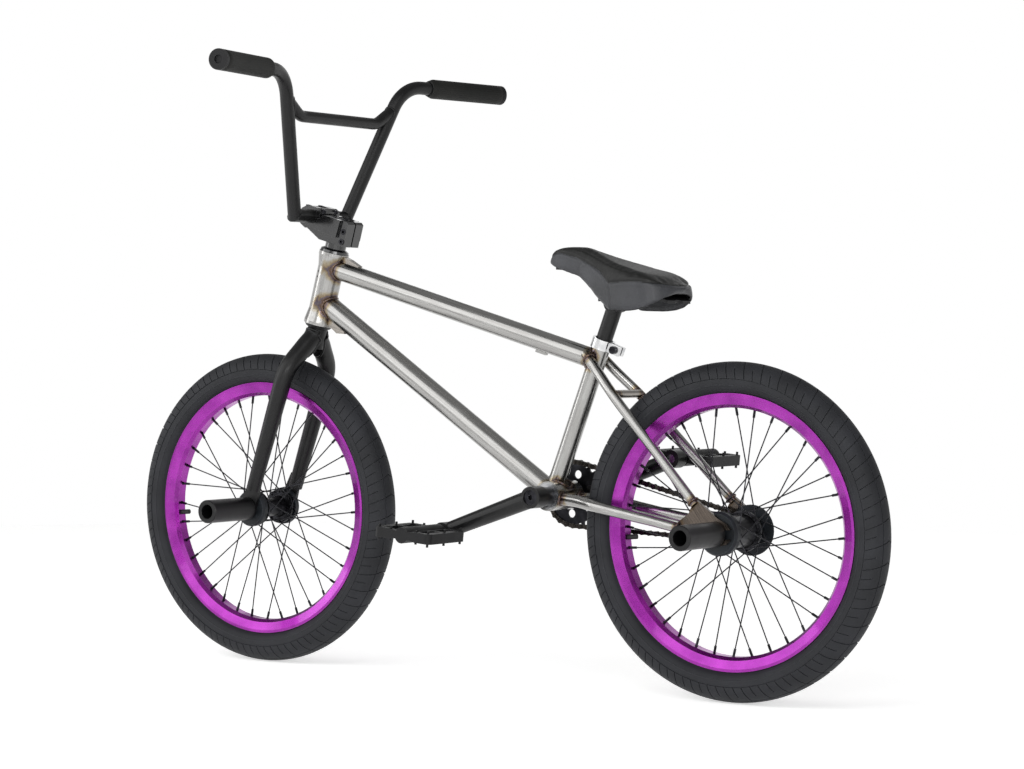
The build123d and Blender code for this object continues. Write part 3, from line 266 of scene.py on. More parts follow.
def anodised(name, dark, light, rubbed):
    """Anodised aluminium: dye in a clear oxide skin, so it shines like metal and stays coloured.

    The die lines of the extrusion are finer than 1.6 mm, which is as coarse as they need to be
    to show as a faint streak.
    """
    material, tree, place = open_material(name)
    cloud = add(tree, "TexNoise", {"Vector": place, "Scale": per(40.0), "Detail": 3.0})
    streak = add(tree, "TexNoise", {"Vector": place, "Scale": per(1.6), "Detail": 3.0})
    dye = add(tree, "ValToRGB", {"Fac": cloud}, stops=two_tone(dark, light))
    layers = {"Factor": edge_wear(tree, 0.7, 0.5), 6: dye, 7: linear(rubbed)}
    colour = add(tree, "Mix", layers, 2, data_type="RGBA")
    span = spread(streak, 0.24, 0.34)
    extruded = add(tree, "Bump", {"Height": streak, "Distance": 0.01 * MM, "Strength": 0.25})
    close_material(tree, {
        "Base Color": colour, "Roughness": add(tree, "MapRange", span), "Normal": extruded,
        "Metallic": 1.0, "Coat Weight": 0.4, "Coat Roughness": 0.05,
    })
    return material


def rubber(name, dark, light, rough, grit_size, depth, rubbed="#505155"):
    """Moulded rubber: matt carbon black with a dusty bloom, mould grit and paler rubbed edges.

    Real grit is about 0.3 mm, and it is drawn coarser so that it shows.
    """
    material, tree, place = open_material(name)
    bloom = add(tree, "TexNoise", {"Vector": place, "Scale": per(55.0), "Detail": 5.0})
    grit = add(tree, "TexNoise", {"Vector": place, "Scale": per(grit_size), "Detail": 3.0})
    skin = add(tree, "ValToRGB", {"Fac": bloom}, stops=two_tone(dark, light))
    layers = {"Factor": edge_wear(tree, 0.6, 0.4), 6: skin, 7: linear(rubbed)}
    colour = add(tree, "Mix", layers, 2, data_type="RGBA")
    span = spread(grit, rough - 0.07, rough + 0.08)
    gritty = add(tree, "Bump", {"Height": grit, "Distance": depth * MM, "Strength": 0.5})
    close_material(tree, {
        "Base Color": colour, "Roughness": add(tree, "MapRange", span), "Normal": gritty,
        "IOR": 1.52, "Specular IOR Level": 0.25,
    })
    return material


def leatherette(name, dark, light, rough, shine):
    """PU leatherette, cast and embossed: 1.2 mm pebbles, painted shade that darkens the hollows
    between them, and a satin skin.
    """
    material, tree, place = open_material(name)
    cells = {"Vector": place, "Scale": per(1.2), "Randomness": 1.0}
    pebble = add(tree, "TexVoronoi", cells, "Distance", feature="SMOOTH_F1")
    crease = add(tree, "TexNoise", {"Vector": place, "Scale": per(4.0), "Detail": 5.0})
    cloud = add(tree, "TexNoise", {"Vector": place, "Scale": per(35.0), "Detail": 3.0})
    hide = add(tree, "ValToRGB", {"Fac": cloud}, stops=two_tone(dark, light))
    # painted shade: the colour darkens towards near-black in the hollows between the pebbles
    hollow = add(tree, "Math", {0: pebble, 1: 0.5}, operation="MULTIPLY")
    layers = {"Factor": hollow, 6: hide, 7: linear("#0b0c0c")}
    colour = add(tree, "Mix", layers, 2, data_type="RGBA")
    span = spread(crease, rough - 0.06, rough + 0.08)
    domed = add(tree, "Math", {0: pebble, 1: -1.0, 2: crease}, operation="MULTIPLY_ADD")
    embossed = add(tree, "Bump", {"Height": domed, "Distance": 0.10 * MM, "Strength": 0.45})
    close_material(tree, {
        "Base Color": colour, "Roughness": add(tree, "MapRange", span), "Normal": embossed,
        "IOR": 1.48, "Specular IOR Level": shine,
    })
    return material


# ---- places on the frame, in millimetres ----------------------------------------------
STEER_ORIGIN = Vector((326.5, 0, 624))
STEER_UP = Vector((-0.258819, 0, 0.965926))
STEER_AHEAD = Vector((0.965926, 0, 0.258819))
SEAT_FOOT = Vector((-121, 0, 300))
SEAT_UP = Vector((-0.35184, 0, 0.93606))
LEFT = Vector((0, 1, 0))
BOTTOM_BRACKET = Vector((-133.5, 0, 300))
TOP_TUBE = (Vector((318, 0, 658.3)), SEAT_FOOT + SEAT_UP * 227)
DOWN_TUBE = (STEER_ORIGIN - STEER_UP * 22.1, BOTTOM_BRACKET)
SEAT_TUBE = (SEAT_FOOT + SEAT_UP * 225, BOTTOM_BRACKET)
CHAINSTAY = [(-140, 26, 297), (-186, 31, 294), (-230, 45.5, 288),
             (-324, 46.5, 272), (-384, 58.6, 263)]
SEATSTAY = [(-191, 19, 522), (-262, 42, 452), (-412, 58.6, 299)]
HEAD_BAR = (tuple(STEER_ORIGIN), STEER_UP, 21.8)
SHELL_BAR = (tuple(BOTTOM_BRACKET), LEFT, 23.2)
SEAT_BAR = (tuple(SEAT_FOOT), SEAT_UP, 14.5)


def nearest_on_tube(tube, bar):
    """Point on a tube's centre line that lies nearest to a bar's axis."""
    start, run = tube[0], (tube[1] - tube[0]).normalized()
    centre, axis = Vector(bar[0]), Vector(bar[1]).normalized()
    gap = start - centre
    slope = run.dot(axis)
    return start + run * ((slope * gap.dot(axis) - gap.dot(run)) / (1 - slope * slope))


def tube_weld(tube, end, radius, bar):
    """The weld where a tube's given end meets a bar that it is coped to."""
    away = tube[end] - tube[1 - end]
    return (tuple(nearest_on_tube(tube, bar)), away, radius), bar


TOP_HEAD = tube_weld(TOP_TUBE, 0, 16.0, HEAD_BAR)
DOWN_HEAD = tube_weld(DOWN_TUBE, 0, 17.5, HEAD_BAR)
TOP_SEAT = tube_weld(TOP_TUBE, 1, 16.0, SEAT_BAR)
DOWN_SHELL = tube_weld(DOWN_TUBE, 1, 17.5, SHELL_BAR)
SEAT_SHELL = tube_weld(SEAT_TUBE, 1, 14.3, SHELL_BAR)


def both_sides(centre, axis, radius):
    """The same ring on the left and on the right."""
    x, y, z = centre
    lean, out, rise = axis
    return [(((x, side * y, z), (lean, side * out, rise), radius),) for side in (1, -1)]


CHAIN_SHELL = both_sides((-160, 28, 296), (-1, 0.1, -0.06), 9.5)
CHAIN_END = both_sides((-384, 58.6, 263), (-1, 0.2, -0.15), 8)
SEATSTAY_TOP = both_sides((-199, 21.6, 515), (-0.7, 0.22, -0.69), 8)
SEATSTAY_END = both_sides((-408, 58.4, 303), (-0.7, 0.08, -0.71), 7.4)
BRIDGE = both_sides((-256, 34, 461), (0, 1, 0), 6.5)
STEEL_PARTS = {
    "head_tube": (STEER_UP, [TOP_HEAD, DOWN_HEAD]),
    "top_tube": (TOP_TUBE[1] - TOP_TUBE[0], [TOP_HEAD, TOP_SEAT, *SEATSTAY_TOP]),
    "down_tube": (DOWN_TUBE[1] - DOWN_TUBE[0], [DOWN_HEAD, DOWN_SHELL]),
    "seat_tube": (SEAT_UP, [TOP_SEAT, SEAT_SHELL, *SEATSTAY_TOP]),
    "bb_shell": (LEFT, [DOWN_SHELL, SEAT_SHELL, *CHAIN_SHELL]),
    "chainstay_left": ((-1, 0.1, -0.16), CHAIN_SHELL + CHAIN_END),
    "chainstay_right": ((-1, -0.1, -0.16), CHAIN_SHELL + CHAIN_END),
    "seatstay_left": ((-0.7, 0.08, -0.71), SEATSTAY_TOP + SEATSTAY_END + BRIDGE),
    "seatstay_right": ((-0.7, -0.08, -0.71), SEATSTAY_TOP + SEATSTAY_END + BRIDGE),
    "rear_dropouts": ((-0.6, 0, -0.8), CHAIN_END + SEATSTAY_END),
    "gussets_and_bridges": ((1, 0, 0.3), [TOP_HEAD, DOWN_HEAD, *BRIDGE]),
}

# small plates run hot all through when they are welded, so they stay browner than the tubes
PLATE_TONES = {
    "rear_dropouts": ("#453e38", "#625850"),
    "gussets_and_bridges": ("#86817c", "#a29c95"),
}


# ---- mesh helpers ---------------------------------------------------------------------
def piece(name, vertices, faces, material, body, slot, place=(0, 0, 0)):
    """A smooth mesh piece, vertices in metres and place in millimetres, on a body. The slot is not
    used.
    """
    mesh = bpy.data.meshes.new(name)
    mesh.from_pydata([tuple(v) for v in vertices], [], faces)
    mesh.validate()
    mesh.polygons.foreach_set("use_smooth", [True] * len(mesh.polygons))
    mesh.materials.append(material)
    made = bpy.data.objects.new(name, mesh)
    made.location = Vector(place) * MM
    bpy.context.scene.collection.objects.link(made)
    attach(made, body)
    return made


def grid_faces(rows, columns):
    """Quads of a grid that closes on itself both ways, with its vertices numbered row by row."""
    faces = []
    for row in range(rows):
        for column in range(columns):
            below = (row + 1) % rows
            beside = (column + 1) % columns
            faces.append((row * columns + column, row * columns + beside,
                          below * columns + beside, below * columns + column))
    return faces


BEAD_SIDES = 8


def bead_mesh(path, radius, pitch):
    """Rippled weld bead along a closed line of points: a tube that swells once per ripple."""
    points = [Vector(p) for p in path]
    count = len(points)
    travelled = 0.0
    vertices = []
    for i, point in enumerate(points):
        if i:
            travelled += (point - points[i - 1]).length
        along = (points[(i + 1) % count] - points[i - 1]).normalized()
        side = along.cross(Vector((0.3, 0.2, 0.93))).normalized()
        up = side.cross(along)
        swell_to = radius * (0.88 + 0.22 * abs(math.sin(math.pi * travelled / pitch)))
        for k in range(BEAD_SIDES):
            angle = math.tau * k / BEAD_SIDES
            out = side * math.cos(angle) + up * math.sin(angle)
            vertices.append((point + out * swell_to) * MM)
    return vertices, grid_faces(count, BEAD_SIDES)


def join_parts(parts):
    """One list of vertices and one of faces from several."""
    vertices, faces = [], []
    for more_vertices, more_faces in parts:
        start = len(vertices)
        vertices += more_vertices
        faces += [tuple(i + start for i in face) for face in more_faces]
    return vertices, faces


def meeting_line(start, toward, radius, inside, steps=96):
    """Points in millimetres where a round tube's skin leaves the body that inside() describes."""
    start, axis = Vector(start), (Vector(toward) - Vector(start)).normalized()
    side = axis.orthogonal().normalized()
    other = axis.cross(side)
    line = []
    for k in range(steps):
        angle = math.tau * k / steps
        skin = start + (side * math.cos(angle) + other * math.sin(angle)) * radius
        low, high = -30.0, 80.0
        if not inside(skin + axis * low):
            low = 0.0
        for _ in range(26):
            middle = (low + high) / 2
            if inside(skin + axis * middle):
                low = middle
            else:
                high = middle
        line.append(skin + axis * high)
    return line


def in_bar(centre, axis, radius):
    """A test for whether a point lies inside a round bar."""
    centre, axis = Vector(centre), Vector(axis).normalized()

    def inside(point):
        offset = point - centre
        return (offset - axis * offset.dot(axis)).length < radius
    return inside


def ring_line(centre, axis, radius, steps=48):
    """Points in millimetres on a ring round an axis."""
    centre, axis = Vector(centre), Vector(axis).normalized()
    side = axis.orthogonal().normalized()
    other = axis.cross(side)
    turns = [math.tau * k / steps for k in range(steps)]
    return [centre + (side * math.cos(t) + other * math.sin(t)) * radius for t in turns]


# ---- welds ----------------------------------------------------------------------------
def add_welds(weld, black):
    """TIG beads round every tube end, and painted ones on the fork and the bars."""
    head = in_bar(*HEAD_BAR)
    shell = in_bar(*SHELL_BAR)
    seat = in_bar(*SEAT_BAR)
    steel_lines = [
        meeting_line(TOP_TUBE[0], TOP_TUBE[1], 16.2, head),
        meeting_line(DOWN_TUBE[0], DOWN_TUBE[1], 17.7, head),
        meeting_line(TOP_TUBE[1], TOP_TUBE[0], 16.2, seat),
        meeting_line(DOWN_TUBE[1], DOWN_TUBE[0], 17.7, shell),
        meeting_line(SEAT_TUBE[1], SEAT_TUBE[0], 14.5, shell),
    ]
    for side in (1, -1):
        def left(point):
            return Vector((point[0], side * point[1], point[2]))
        stay_start, stay_next = left(CHAINSTAY[0]), left(CHAINSTAY[1])
        steel_lines.append(meeting_line(stay_start, stay_next, 9.7, shell, 48))
        top, low, end = (left(p) for p in SEATSTAY)
        steel_lines.append(ring_line(top + (low - top) * 0.10, low - top, 8.6))
        steel_lines.append(ring_line(end + (low - end) * 0.03, end - low, 7.7))
        stay_end, stay_before = left(CHAINSTAY[-1]), left(CHAINSTAY[-2])
        steel_lines.append(ring_line(stay_end, stay_end - stay_before, 8.2))
    beads = [bead_mesh(line, 2.1, 3.2) for line in steel_lines]
    piece("frame_welds", *join_parts(beads), weld, "frame", "raw_steel")

    fork_lines = []
    for side in (1, -1):
        start = steer_point(0, side * 7, -83)
        bend = steer_point(3, side * 57, -139)
        steerer = in_bar(STEER_ORIGIN, STEER_UP, 17.0)
        fork_lines.append(meeting_line(start, bend, 16.1, steerer, 64))
    beads = [bead_mesh(line, 1.9, 3.4) for line in fork_lines]
    piece("fork_welds", *join_parts(beads), black, "fork", "satin_black")

    bar_lines = []
    for side in (1, -1):
        foot, knee = Vector((340, side * 70, 742)), Vector((290, side * 161, 967))
        near, end = Vector((304, side * 104, 900)), Vector((298.6, side * 148, 928))
        riser = in_bar(foot, knee - foot, 11.3)
        bar_lines.append(meeting_line(end, near, 9.6, riser, 48))
        bar_lines.append(ring_line(foot, (knee - foot).normalized() + LEFT * side, 11.4))
    beads = [bead_mesh(line, 1.6, 3.0) for line in bar_lines]
    piece("bar_welds", *join_parts(beads), black, "handlebar", "satin_black")


def steer_point(ahead, left, up):
    """A point given from the steering axis: ahead of it, to the left, and up along it."""
    return STEER_ORIGIN + STEER_AHEAD * ahead + LEFT * left + STEER_UP * up


# ---- tyres ----------------------------------------------------------------------------
TYRE_CENTRE = 228.0                # radius of the casing's middle
TREAD_ROUND = 29.0                 # half width of the casing
SIDEWALL_DROP = 0.9                # the tread stands this far above the sidewall
CUT_DEPTH = 1.8
GROOVE_DEPTH = 1.2
TREAD_EDGE = 82.4                  # degrees round the casing from the crown
SHORT_CUT_END = 48.0
GROOVE = (24.3, 24.9, 27.3, 27.9)
PITCHES = 50
LONG_CUT = (-1.0, -0.6, 0.6, 1.0)
SHORT_CUT = (14.8, 15.15, 16.25, 16.6)
PLAIN_COLUMNS = (4.5, 8.0, 11.5, 20.0, 24.0, 27.6)
SLANT = 16.0                       # the cuts sweep back this far from crown to shoulder


def tyre_rows():
    """Half of the casing's section from the crown out: (degrees or None, radius, half width)."""
    rows = []
    for angle in (0, 6, 13, 20, *GROOVE, 32, 38, 44, 47, 50, 55, 60, 66, 72, 78, TREAD_EDGE):
        rows.append((angle, None, None))
    for angle, drop in ((83.2, 1.9), (84.2, 1.9), (85.0, SIDEWALL_DROP), (88.0, SIDEWALL_DROP)):
        turn = math.radians(angle)
        reach = TREAD_ROUND - drop
        rows.append((None, TYRE_CENTRE + reach * math.cos(turn), reach * math.sin(turn)))
    for radius, half in (
            (224.0, 28.0), (222.6, 27.8), (222.1, 28.4), (221.1, 28.2), (220.6, 27.4),
            (218.0, 26.2), (214.4, 23.6), (211.9, 20.4), (210.5, 17.2), (209.4, 16.4),
            (203.8, 16.4), (203.8, 13.0), (207.5, 13.2), (216.0, 22.0), (228.0, 25.2),
            (240.0, 21.0), (248.5, 11.0)):
        rows.append((None, radius, half))
    return rows


def tread_depth(angle, cut):
    """How far the tread's surface is cut down at a row and column."""
    if GROOVE[1] <= angle <= GROOVE[2]:
        return CUT_DEPTH if cut == "long" else GROOVE_DEPTH
    if cut == "long" and angle <= TREAD_EDGE:
        return CUT_DEPTH
    if cut == "short" and SHORT_CUT_END < angle <= TREAD_EDGE:
        return CUT_DEPTH
    return 0.0


def tyre_mesh():
    """The whole tyre about its axle, in metres."""
    half = tyre_rows()
    section = [(row, 1) for row in half] + [(None, 250.5, 0.0)]
    section += [(row, -1) for row in reversed(half[1:])]
    pitch = math.tau / PITCHES
    columns = [(mm, "long" if mm in LONG_CUT[1:3] else "short" if mm in SHORT_CUT[1:3] else "")
               for mm in sorted(LONG_CUT + SHORT_CUT + PLAIN_COLUMNS)]
    vertices = []
    for step in range(PITCHES):
        for offset, cut in columns:
            for entry in section:
                if len(entry) == 3:
                    angle, radius, y = entry
                    sweep = SLANT
                else:
                    (angle, radius, y), side = entry
                    sweep = SLANT * min(1.0, (angle or TREAD_EDGE) / TREAD_EDGE) ** 0.85
                    if angle == 0:
                        sweep = 0.0
                    if angle is not None:
                        turn = math.radians(angle)
                        reach = TREAD_ROUND - tread_depth(angle, cut)
                        radius = TYRE_CENTRE + reach * math.cos(turn)
                        y = reach * math.sin(turn)
                    y *= side
                theta = step * pitch + (offset + sweep) / 257.0
                point = (radius * math.cos(theta), y, radius * math.sin(theta))
                vertices.append(tuple(c * MM for c in point))
    faces = grid_faces(PITCHES * len(columns), len(section))
    return vertices, [tuple(reversed(face)) for face in faces]


def add_tyres(tread):
    """The same cut tread on both wheels, in place of the CAD's plain tyres."""
    vertices, faces = tyre_mesh()
    for end, x in (("front", 446.35), ("rear", -446.35)):
        tyre = piece(f"{end}_tyre_tread", vertices, faces, tread, f"{end}_wheel", "tyre_rubber",
                     place=(x, 0, 257))
        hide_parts(f"{end}_tyre")
        tyre.data.set_sharp_from_angle(angle=math.radians(32))


# ---- grips ----------------------------------------------------------------------------
BAR_KNEE = Vector((290, 161, 967))
BAR_TIP = Vector((244.6, 376.8, 966.1))
GRIP_LENGTH = 162.0
FLUTES = 28


def add_grips(soft):
    """Rubber sleeves with shallow lengthwise flutes and a tapered inner end."""
    steps = FLUTES * 6
    # each row is a distance along the grip, a radius, and whether the flutes are cut there
    rows = [(0.4, 11.3, 0), (0.0, 12.4, 0), (0.4, 13.4, 0),
            (6.8, 15.6, 0), (9.5, 16.4, 0), (13.0, 16.45, 0),
            (14.5, 16.4, 1), (60.0, 16.4, 1), (110.0, 16.4, 1),
            (150.0, 16.4, 1), (152.0, 16.45, 0), (GRIP_LENGTH + 2.2, 16.45, 0),
            (GRIP_LENGTH + 3.0, 15.8, 0), (GRIP_LENGTH + 3.0, 11.3, 0)]
    for name, side in (("grip_left", 1), ("grip_right", -1)):
        knee = Vector((BAR_KNEE.x, side * BAR_KNEE.y, BAR_KNEE.z))
        tip = Vector((BAR_TIP.x, side * BAR_TIP.y, BAR_TIP.z))
        along = (tip - knee).normalized()
        start = tip - along * GRIP_LENGTH
        up = along.orthogonal().normalized()
        over = along.cross(up)
        vertices = []
        for distance, radius, fluted in rows:
            for k in range(steps):
                turn = math.tau * k / steps
                hollow = 0.28 * fluted * (0.5 - 0.5 * math.cos(turn * FLUTES)) ** 3
                out = up * math.cos(turn) + over * math.sin(turn)
                vertices.append((start + along * distance + out * (radius - hollow)) * MM)
        sleeve = piece(f"{name}_sleeve", vertices, grid_faces(len(rows), steps), soft,
                       "handlebar", "soft_rubber")
        sleeve.data.set_sharp_from_angle(angle=math.radians(40))
        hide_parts(name)


# ---- saddle ---------------------------------------------------------------------------
SIDE_SEAM = [(-114, 6, 668), (-121, 13, 674), (-140, 20, 679),
             (-176, 25, 671), (-227, 36, 650), (-253, 46, 631)]
BACK_SEAM = [(-253, 46, 631), (-280, 57, 633), (-310, 60, 633),
             (-335, 48, 630), (-349, 25, 627), (-353, 0, 626)]
DROP_SEAM = [(-253, 46, 631), (-256, 52, 610), (-257, 54, 585)]
SEAM_WIDTH = 1.5
SEAM_DEPTH = 1.3
COVER_VOXEL = 3.0
COVER_CAP = 3.5                    # the filling swells the cover by no more than this
COVER_SMOOTHING = 45               # rounds of smoothing that round off the padding's edges
COVER_SLACK = 1.5                  # the cover starts this far in, so that it can swell
COVER_PRESSURE = 4.0
COVER_STEPS = 20
TAIL_START, TAIL_RUN = -292, 52    # the lower edge rises from here to the tail
SKIRT_TOP, SKIRT_HEIGHT = 630, 42
CORNER_LIFT, MIDDLE_LIFT = 9, 15
PUFF, PUFF_GAP, PUFF_WIDTH = 0.45, 4.0, 2.6    # the padding stands up beside each seam
UNDERSIDE = -0.72                  # faces that point down more steeply than this are the bare pan


def seam_points(corners, side, spacing=0.7):
    """Evenly spaced points in metres on the smooth line through the corners."""
    points = []
    spots = [Vector((x, side * y, z)) for x, y, z in corners]
    ends = [spots[0] * 2 - spots[1], *spots, spots[-1] * 2 - spots[-2]]
    for before, first, second, after in zip(ends, ends[1:], ends[2:], ends[3:]):
        count = max(2, int((second - first).length / spacing))
        for k in range(count):
            t = k / count
            points.append(0.5 * (
                first * 2 + (second - before) * t
                + (before * 2 - first * 5 + second * 4 - after) * t ** 2
                + (first * 3 - before - second * 3 + after) * t ** 3) * MM)
    points.append(spots[-1] * MM)
    return points


def coordinates(mesh, kind="co"):
    """A mesh's points, or its vertex normals, as rows of x, y and z."""
    values = np.zeros(len(mesh.vertices) * 3, np.float32)
    mesh.vertices.foreach_get(kind, values)
    return values.reshape(-1, 3).astype(float)


def set_coordinates(mesh, values):
    """Moves a mesh's points to new places."""
    mesh.vertices.foreach_set("co", values.astype(np.float32).ravel())
    mesh.update()


def apply_modifiers(made):
    """Replaces the object's mesh with the one its modifiers give."""
    evaluated = made.evaluated_get(bpy.context.evaluated_depsgraph_get())
    mesh = bpy.data.meshes.new_from_object(evaluated)
    made.modifiers.clear()
    made.data = mesh


def upper_share(normals):
    """From 0 on the underside to 1 on the sides and top."""
    return np.clip((normals[:, 2] + 0.25) / 0.5, 0.0, 1.0)


def swell(made):
    """Inflates the cover with a cloth simulation, then caps how far each point moved."""
    rest = coordinates(made.data)
    normals = coordinates(made.data, "normal")
    cloth = made.modifiers.new("cover", "CLOTH")
    cloth.settings.use_pressure = True
    cloth.settings.uniform_pressure_force = COVER_PRESSURE
    cloth.settings.effector_weights.gravity = 0.0
    cloth.settings.quality = 5
    scene = bpy.context.scene
    for step in range(1, COVER_STEPS + 1):
        scene.frame_set(step)
    apply_modifiers(made)
    scene.frame_set(1)
    moved = coordinates(made.data) - rest
    out = np.clip((moved * normals).sum(1), 0.0, COVER_CAP * MM)
    set_coordinates(made.data, rest + normals * (out * upper_share(normals))[:, None])


def lift_tail(points):
    """Raises the lower edge towards the tail, most in the middle, so the underside opens there."""
    x, y, z = points.T / MM
    back = np.clip((TAIL_START - x) / TAIL_RUN, 0.0, 1.0) ** 1.3
    middle = 1 - np.clip((np.abs(y) - 14) / 46, 0.0, 1.0) ** 1.5
    low = np.clip((SKIRT_TOP - z) / SKIRT_HEIGHT, 0.0, 1.0)
    lifted = points.copy()
    lifted[:, 2] += back * (CORNER_LIFT + MIDDLE_LIFT * middle) * low * MM
    return lifted


def add_saddle(shaded_top_hide, lit_side_hide, under_hide):
    """Padded cover: remeshed, swelled by its filling, then sewn along its seams."""
    made = bpy.data.objects.new("saddle_cover", nodes["seat_pad"].data.copy())
    bpy.context.scene.collection.objects.link(made)
    skin = made.modifiers.new("even_skin", "REMESH")
    skin.mode = "VOXEL"
    skin.voxel_size = COVER_VOXEL * MM
    smooth = made.modifiers.new("relax", "SMOOTH")
    smooth.iterations = COVER_SMOOTHING
    apply_modifiers(made)
    start = lift_tail(coordinates(made.data))
    set_coordinates(made.data, start)
    normals = coordinates(made.data, "normal")
    slack = upper_share(normals) * COVER_SLACK * MM
    set_coordinates(made.data, start - normals * slack[:, None])
    swell(made)
    level = made.modifiers.new("fine_skin", "SUBSURF")
    level.levels = level.render_levels = 1
    apply_modifiers(made)

    corners = [vertex.co for vertex in made.data.vertices]
    surface = BVHTree.FromPolygons(corners, [face.vertices for face in made.data.polygons])
    lines = []
    for seam in (SIDE_SEAM, BACK_SEAM, DROP_SEAM):
        for side in (1, -1):
            lines.append([surface.find_nearest(p)[0] for p in seam_points(seam, side)])
    tree = KDTree(sum(len(line) for line in lines))
    for index, point in enumerate(p for line in lines for p in line):
        tree.insert(point, index)
    tree.balance()
    points = coordinates(made.data)
    normals = coordinates(made.data, "normal")
    gaps = np.array([tree.find(p)[2] for p in points]) / MM
    sunk = SEAM_DEPTH * np.exp(-(gaps / SEAM_WIDTH) ** 2)
    sunk -= PUFF * np.exp(-((gaps - PUFF_GAP) / PUFF_WIDTH) ** 2)
    open_side = np.clip((normals[:, 2] + 0.75) / 0.3, 0.0, 1.0)
    set_coordinates(made.data, points - normals * (sunk * open_side * MM)[:, None])

    edge = sorted([(x, z) for x, _, z in SIDE_SEAM + BACK_SEAM[1:]])
    xs, zs = zip(*edge)
    made.data.materials.clear()
    # above the side seam the cover gets the hide painted darker as shade, and below it the hide
    # painted lighter as light
    for hide in (shaded_top_hide, lit_side_hide, under_hide):
        made.data.materials.append(hide)
    for face in made.data.polygons:
        x, _, z = face.center / MM
        below_seam = z < np.interp(x, xs, zs) - 0.3
        face.material_index = 2 if face.normal.z < UNDERSIDE else int(below_seam)
        face.use_smooth = True
    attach(made, "seat")
    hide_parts("seat_pad")


# ---- finishes -------------------------------------------------------------------------
def set_finish(name, material):
    """Gives a CAD node its material."""
    slots = nodes[name].material_slots
    for place in range(max(1, len(slots))):
        if len(slots):
            slots[place].material = material
        else:
            nodes[name].data.materials.append(material)


# satin powder coat on chromoly, sprayed and baked: an even dark skin with a faint orange peel
satin = coated("satin_powder_coat", "#060607", "#0d0d0e", 0.40, 0.05, 1.8, 0.02, "#2b2b2c")
# gloss enamel over machined alloy: deep black that mirrors the lights in sharp edges
gloss = coated("gloss_black_enamel", "#060607", "#0b0b0d", 0.20, 0.6, 2.6, 0.01,
               "#4a4a4c", 0.5, 0.6)
# injection-moulded nylon, spark-eroded mould: dull black with a sandy grain
nylon = coated("moulded_nylon", "#08080a", "#101012", 0.52, 0.0, 0.9, 0.04, "#3c3c3e", 0.4, 0.28)
# glass-filled nylon, moulded: blue-grey black whose glass shows through where it is scuffed
guard_nylon = coated("glass_filled_nylon", "#101316", "#1a1f24", 0.48, 0.0, 0.9, 0.04,
                     "#4c5258", 0.4, 0.3)
# black oxide on turned steel: oily near-black that catches thin grey glints
oxide_steel = bare_metal("black_oxide_steel", "#1a1a1c", "#343438", 0.34, rubbed="#6e6e70")
# stamped and blackened chain plates: brownish black, burnished at the corners
chain_steel = bare_metal("blackened_chain_steel", "#1d1b1a", "#3b3734", 0.34, 0.9, "#7a756e")
# ground bearing steel: nearly a mirror with faint grinding marks
bright_steel = bare_metal("ground_bearing_steel", "#85868a", "#bcbdbf", 0.20)
# zinc-plated steel, passivated: cool grey and slightly cloudy
zinc_steel = bare_metal("zinc_plated_steel", "#77787a", "#b0b1b2", 0.30)
# polished aluminium alloy: the palest metal on the bike, with soft buffing swirls
alloy = bare_metal("polished_aluminium", "#b6b7b9", "#dcdcdc", 0.18, 1.0, "#e6e6e6")
# anodised aluminium, extruded and rolled into a hoop: strong purple with a metal's sheen
purple = anodised("purple_anodised_aluminium", "#85208a", "#a233a6", "#c873cc")
# vulcanised tread rubber: dusty charcoal, its mould edges buffed paler
tread_rubber = rubber("tyre_tread_rubber", "#1a1b1e", "#25262a", 0.62, 1.2, 0.05)
# soft thermoplastic rubber, injection-moulded: matt, warm black
grip_rubber = rubber("soft_grip_rubber", "#0c0d0b", "#151513", 0.64, 1.0, 0.05)
# butyl inner tube, only its valve side shows
tube_rubber = rubber("butyl_inner_tube", "#1d1d1e", "#2b2b2c", 0.5, 1.0, 0.03)
# the top panel is painted darker than the sides and tail, as painted shade where it faces the dim
# ceiling; the sides and tail are painted lighter, as painted light where they face the lamps; both
# have the same embossing
shaded_top_hide = leatherette("shaded_top_leatherette", "#0f0f0f", "#181817", 0.47, 0.32)
lit_side_hide = leatherette("lit_side_leatherette", "#303134", "#3d3e42", 0.44, 0.4)
weld = weld_metal("tig_weld_bead")

FINISHES = {
    satin: "fork_steerer fork_leg_left fork_leg_right handlebar seat_post front_peg rear_peg "
           "crank_arm_left crank_arm_right",
    gloss: "stem_body stem_cap headset_cover",
    nylon: "pedal_left pedal_right seat_base bar_ends",
    guard_nylon: "front_hub_guards rear_hub_guards",
    oxide_steel: "stem_bolts front_spokes rear_spokes front_hub rear_hub sprocket rear_driver "
                 "crank_bolts front_axle rear_axle seat_bolt seat_clamp_bolt front_axle_nuts "
                 "rear_axle_nuts crank_spindle",
    chain_steel: "chain",
    bright_steel: "headset_bearings bb_bearings front_hub_bearings rear_hub_bearings",
    zinc_steel: "pedal_spindles",
    alloy: "seat_clamp",
    purple: "front_rim rear_rim",
    tube_rubber: "front_inner_tube rear_inner_tube",
}
for material, names in FINISHES.items():
    for name in names.split():
        set_finish(name, material)
for name, (axis, welds) in STEEL_PARTS.items():
    tones = PLATE_TONES.get(name, ())
    set_finish(name, raw_steel(f"brushed_raw_steel_{name}", axis, welds, *tones))

add_welds(weld, satin)
add_tyres(tread_rubber)
add_grips(grip_rubber)
add_saddle(shaded_top_hide, lit_side_hide, nylon)


# ---- stage, light and camera ----------------------------------------------------------
FLOOR_GLOW = 0.50
WALL_AND_CEILING = [(0.45, 1.0), (0.49, 1.0), (0.56, 1.0), (0.62, 0.45), (0.80, 0.30), (1.0, 0.35)]


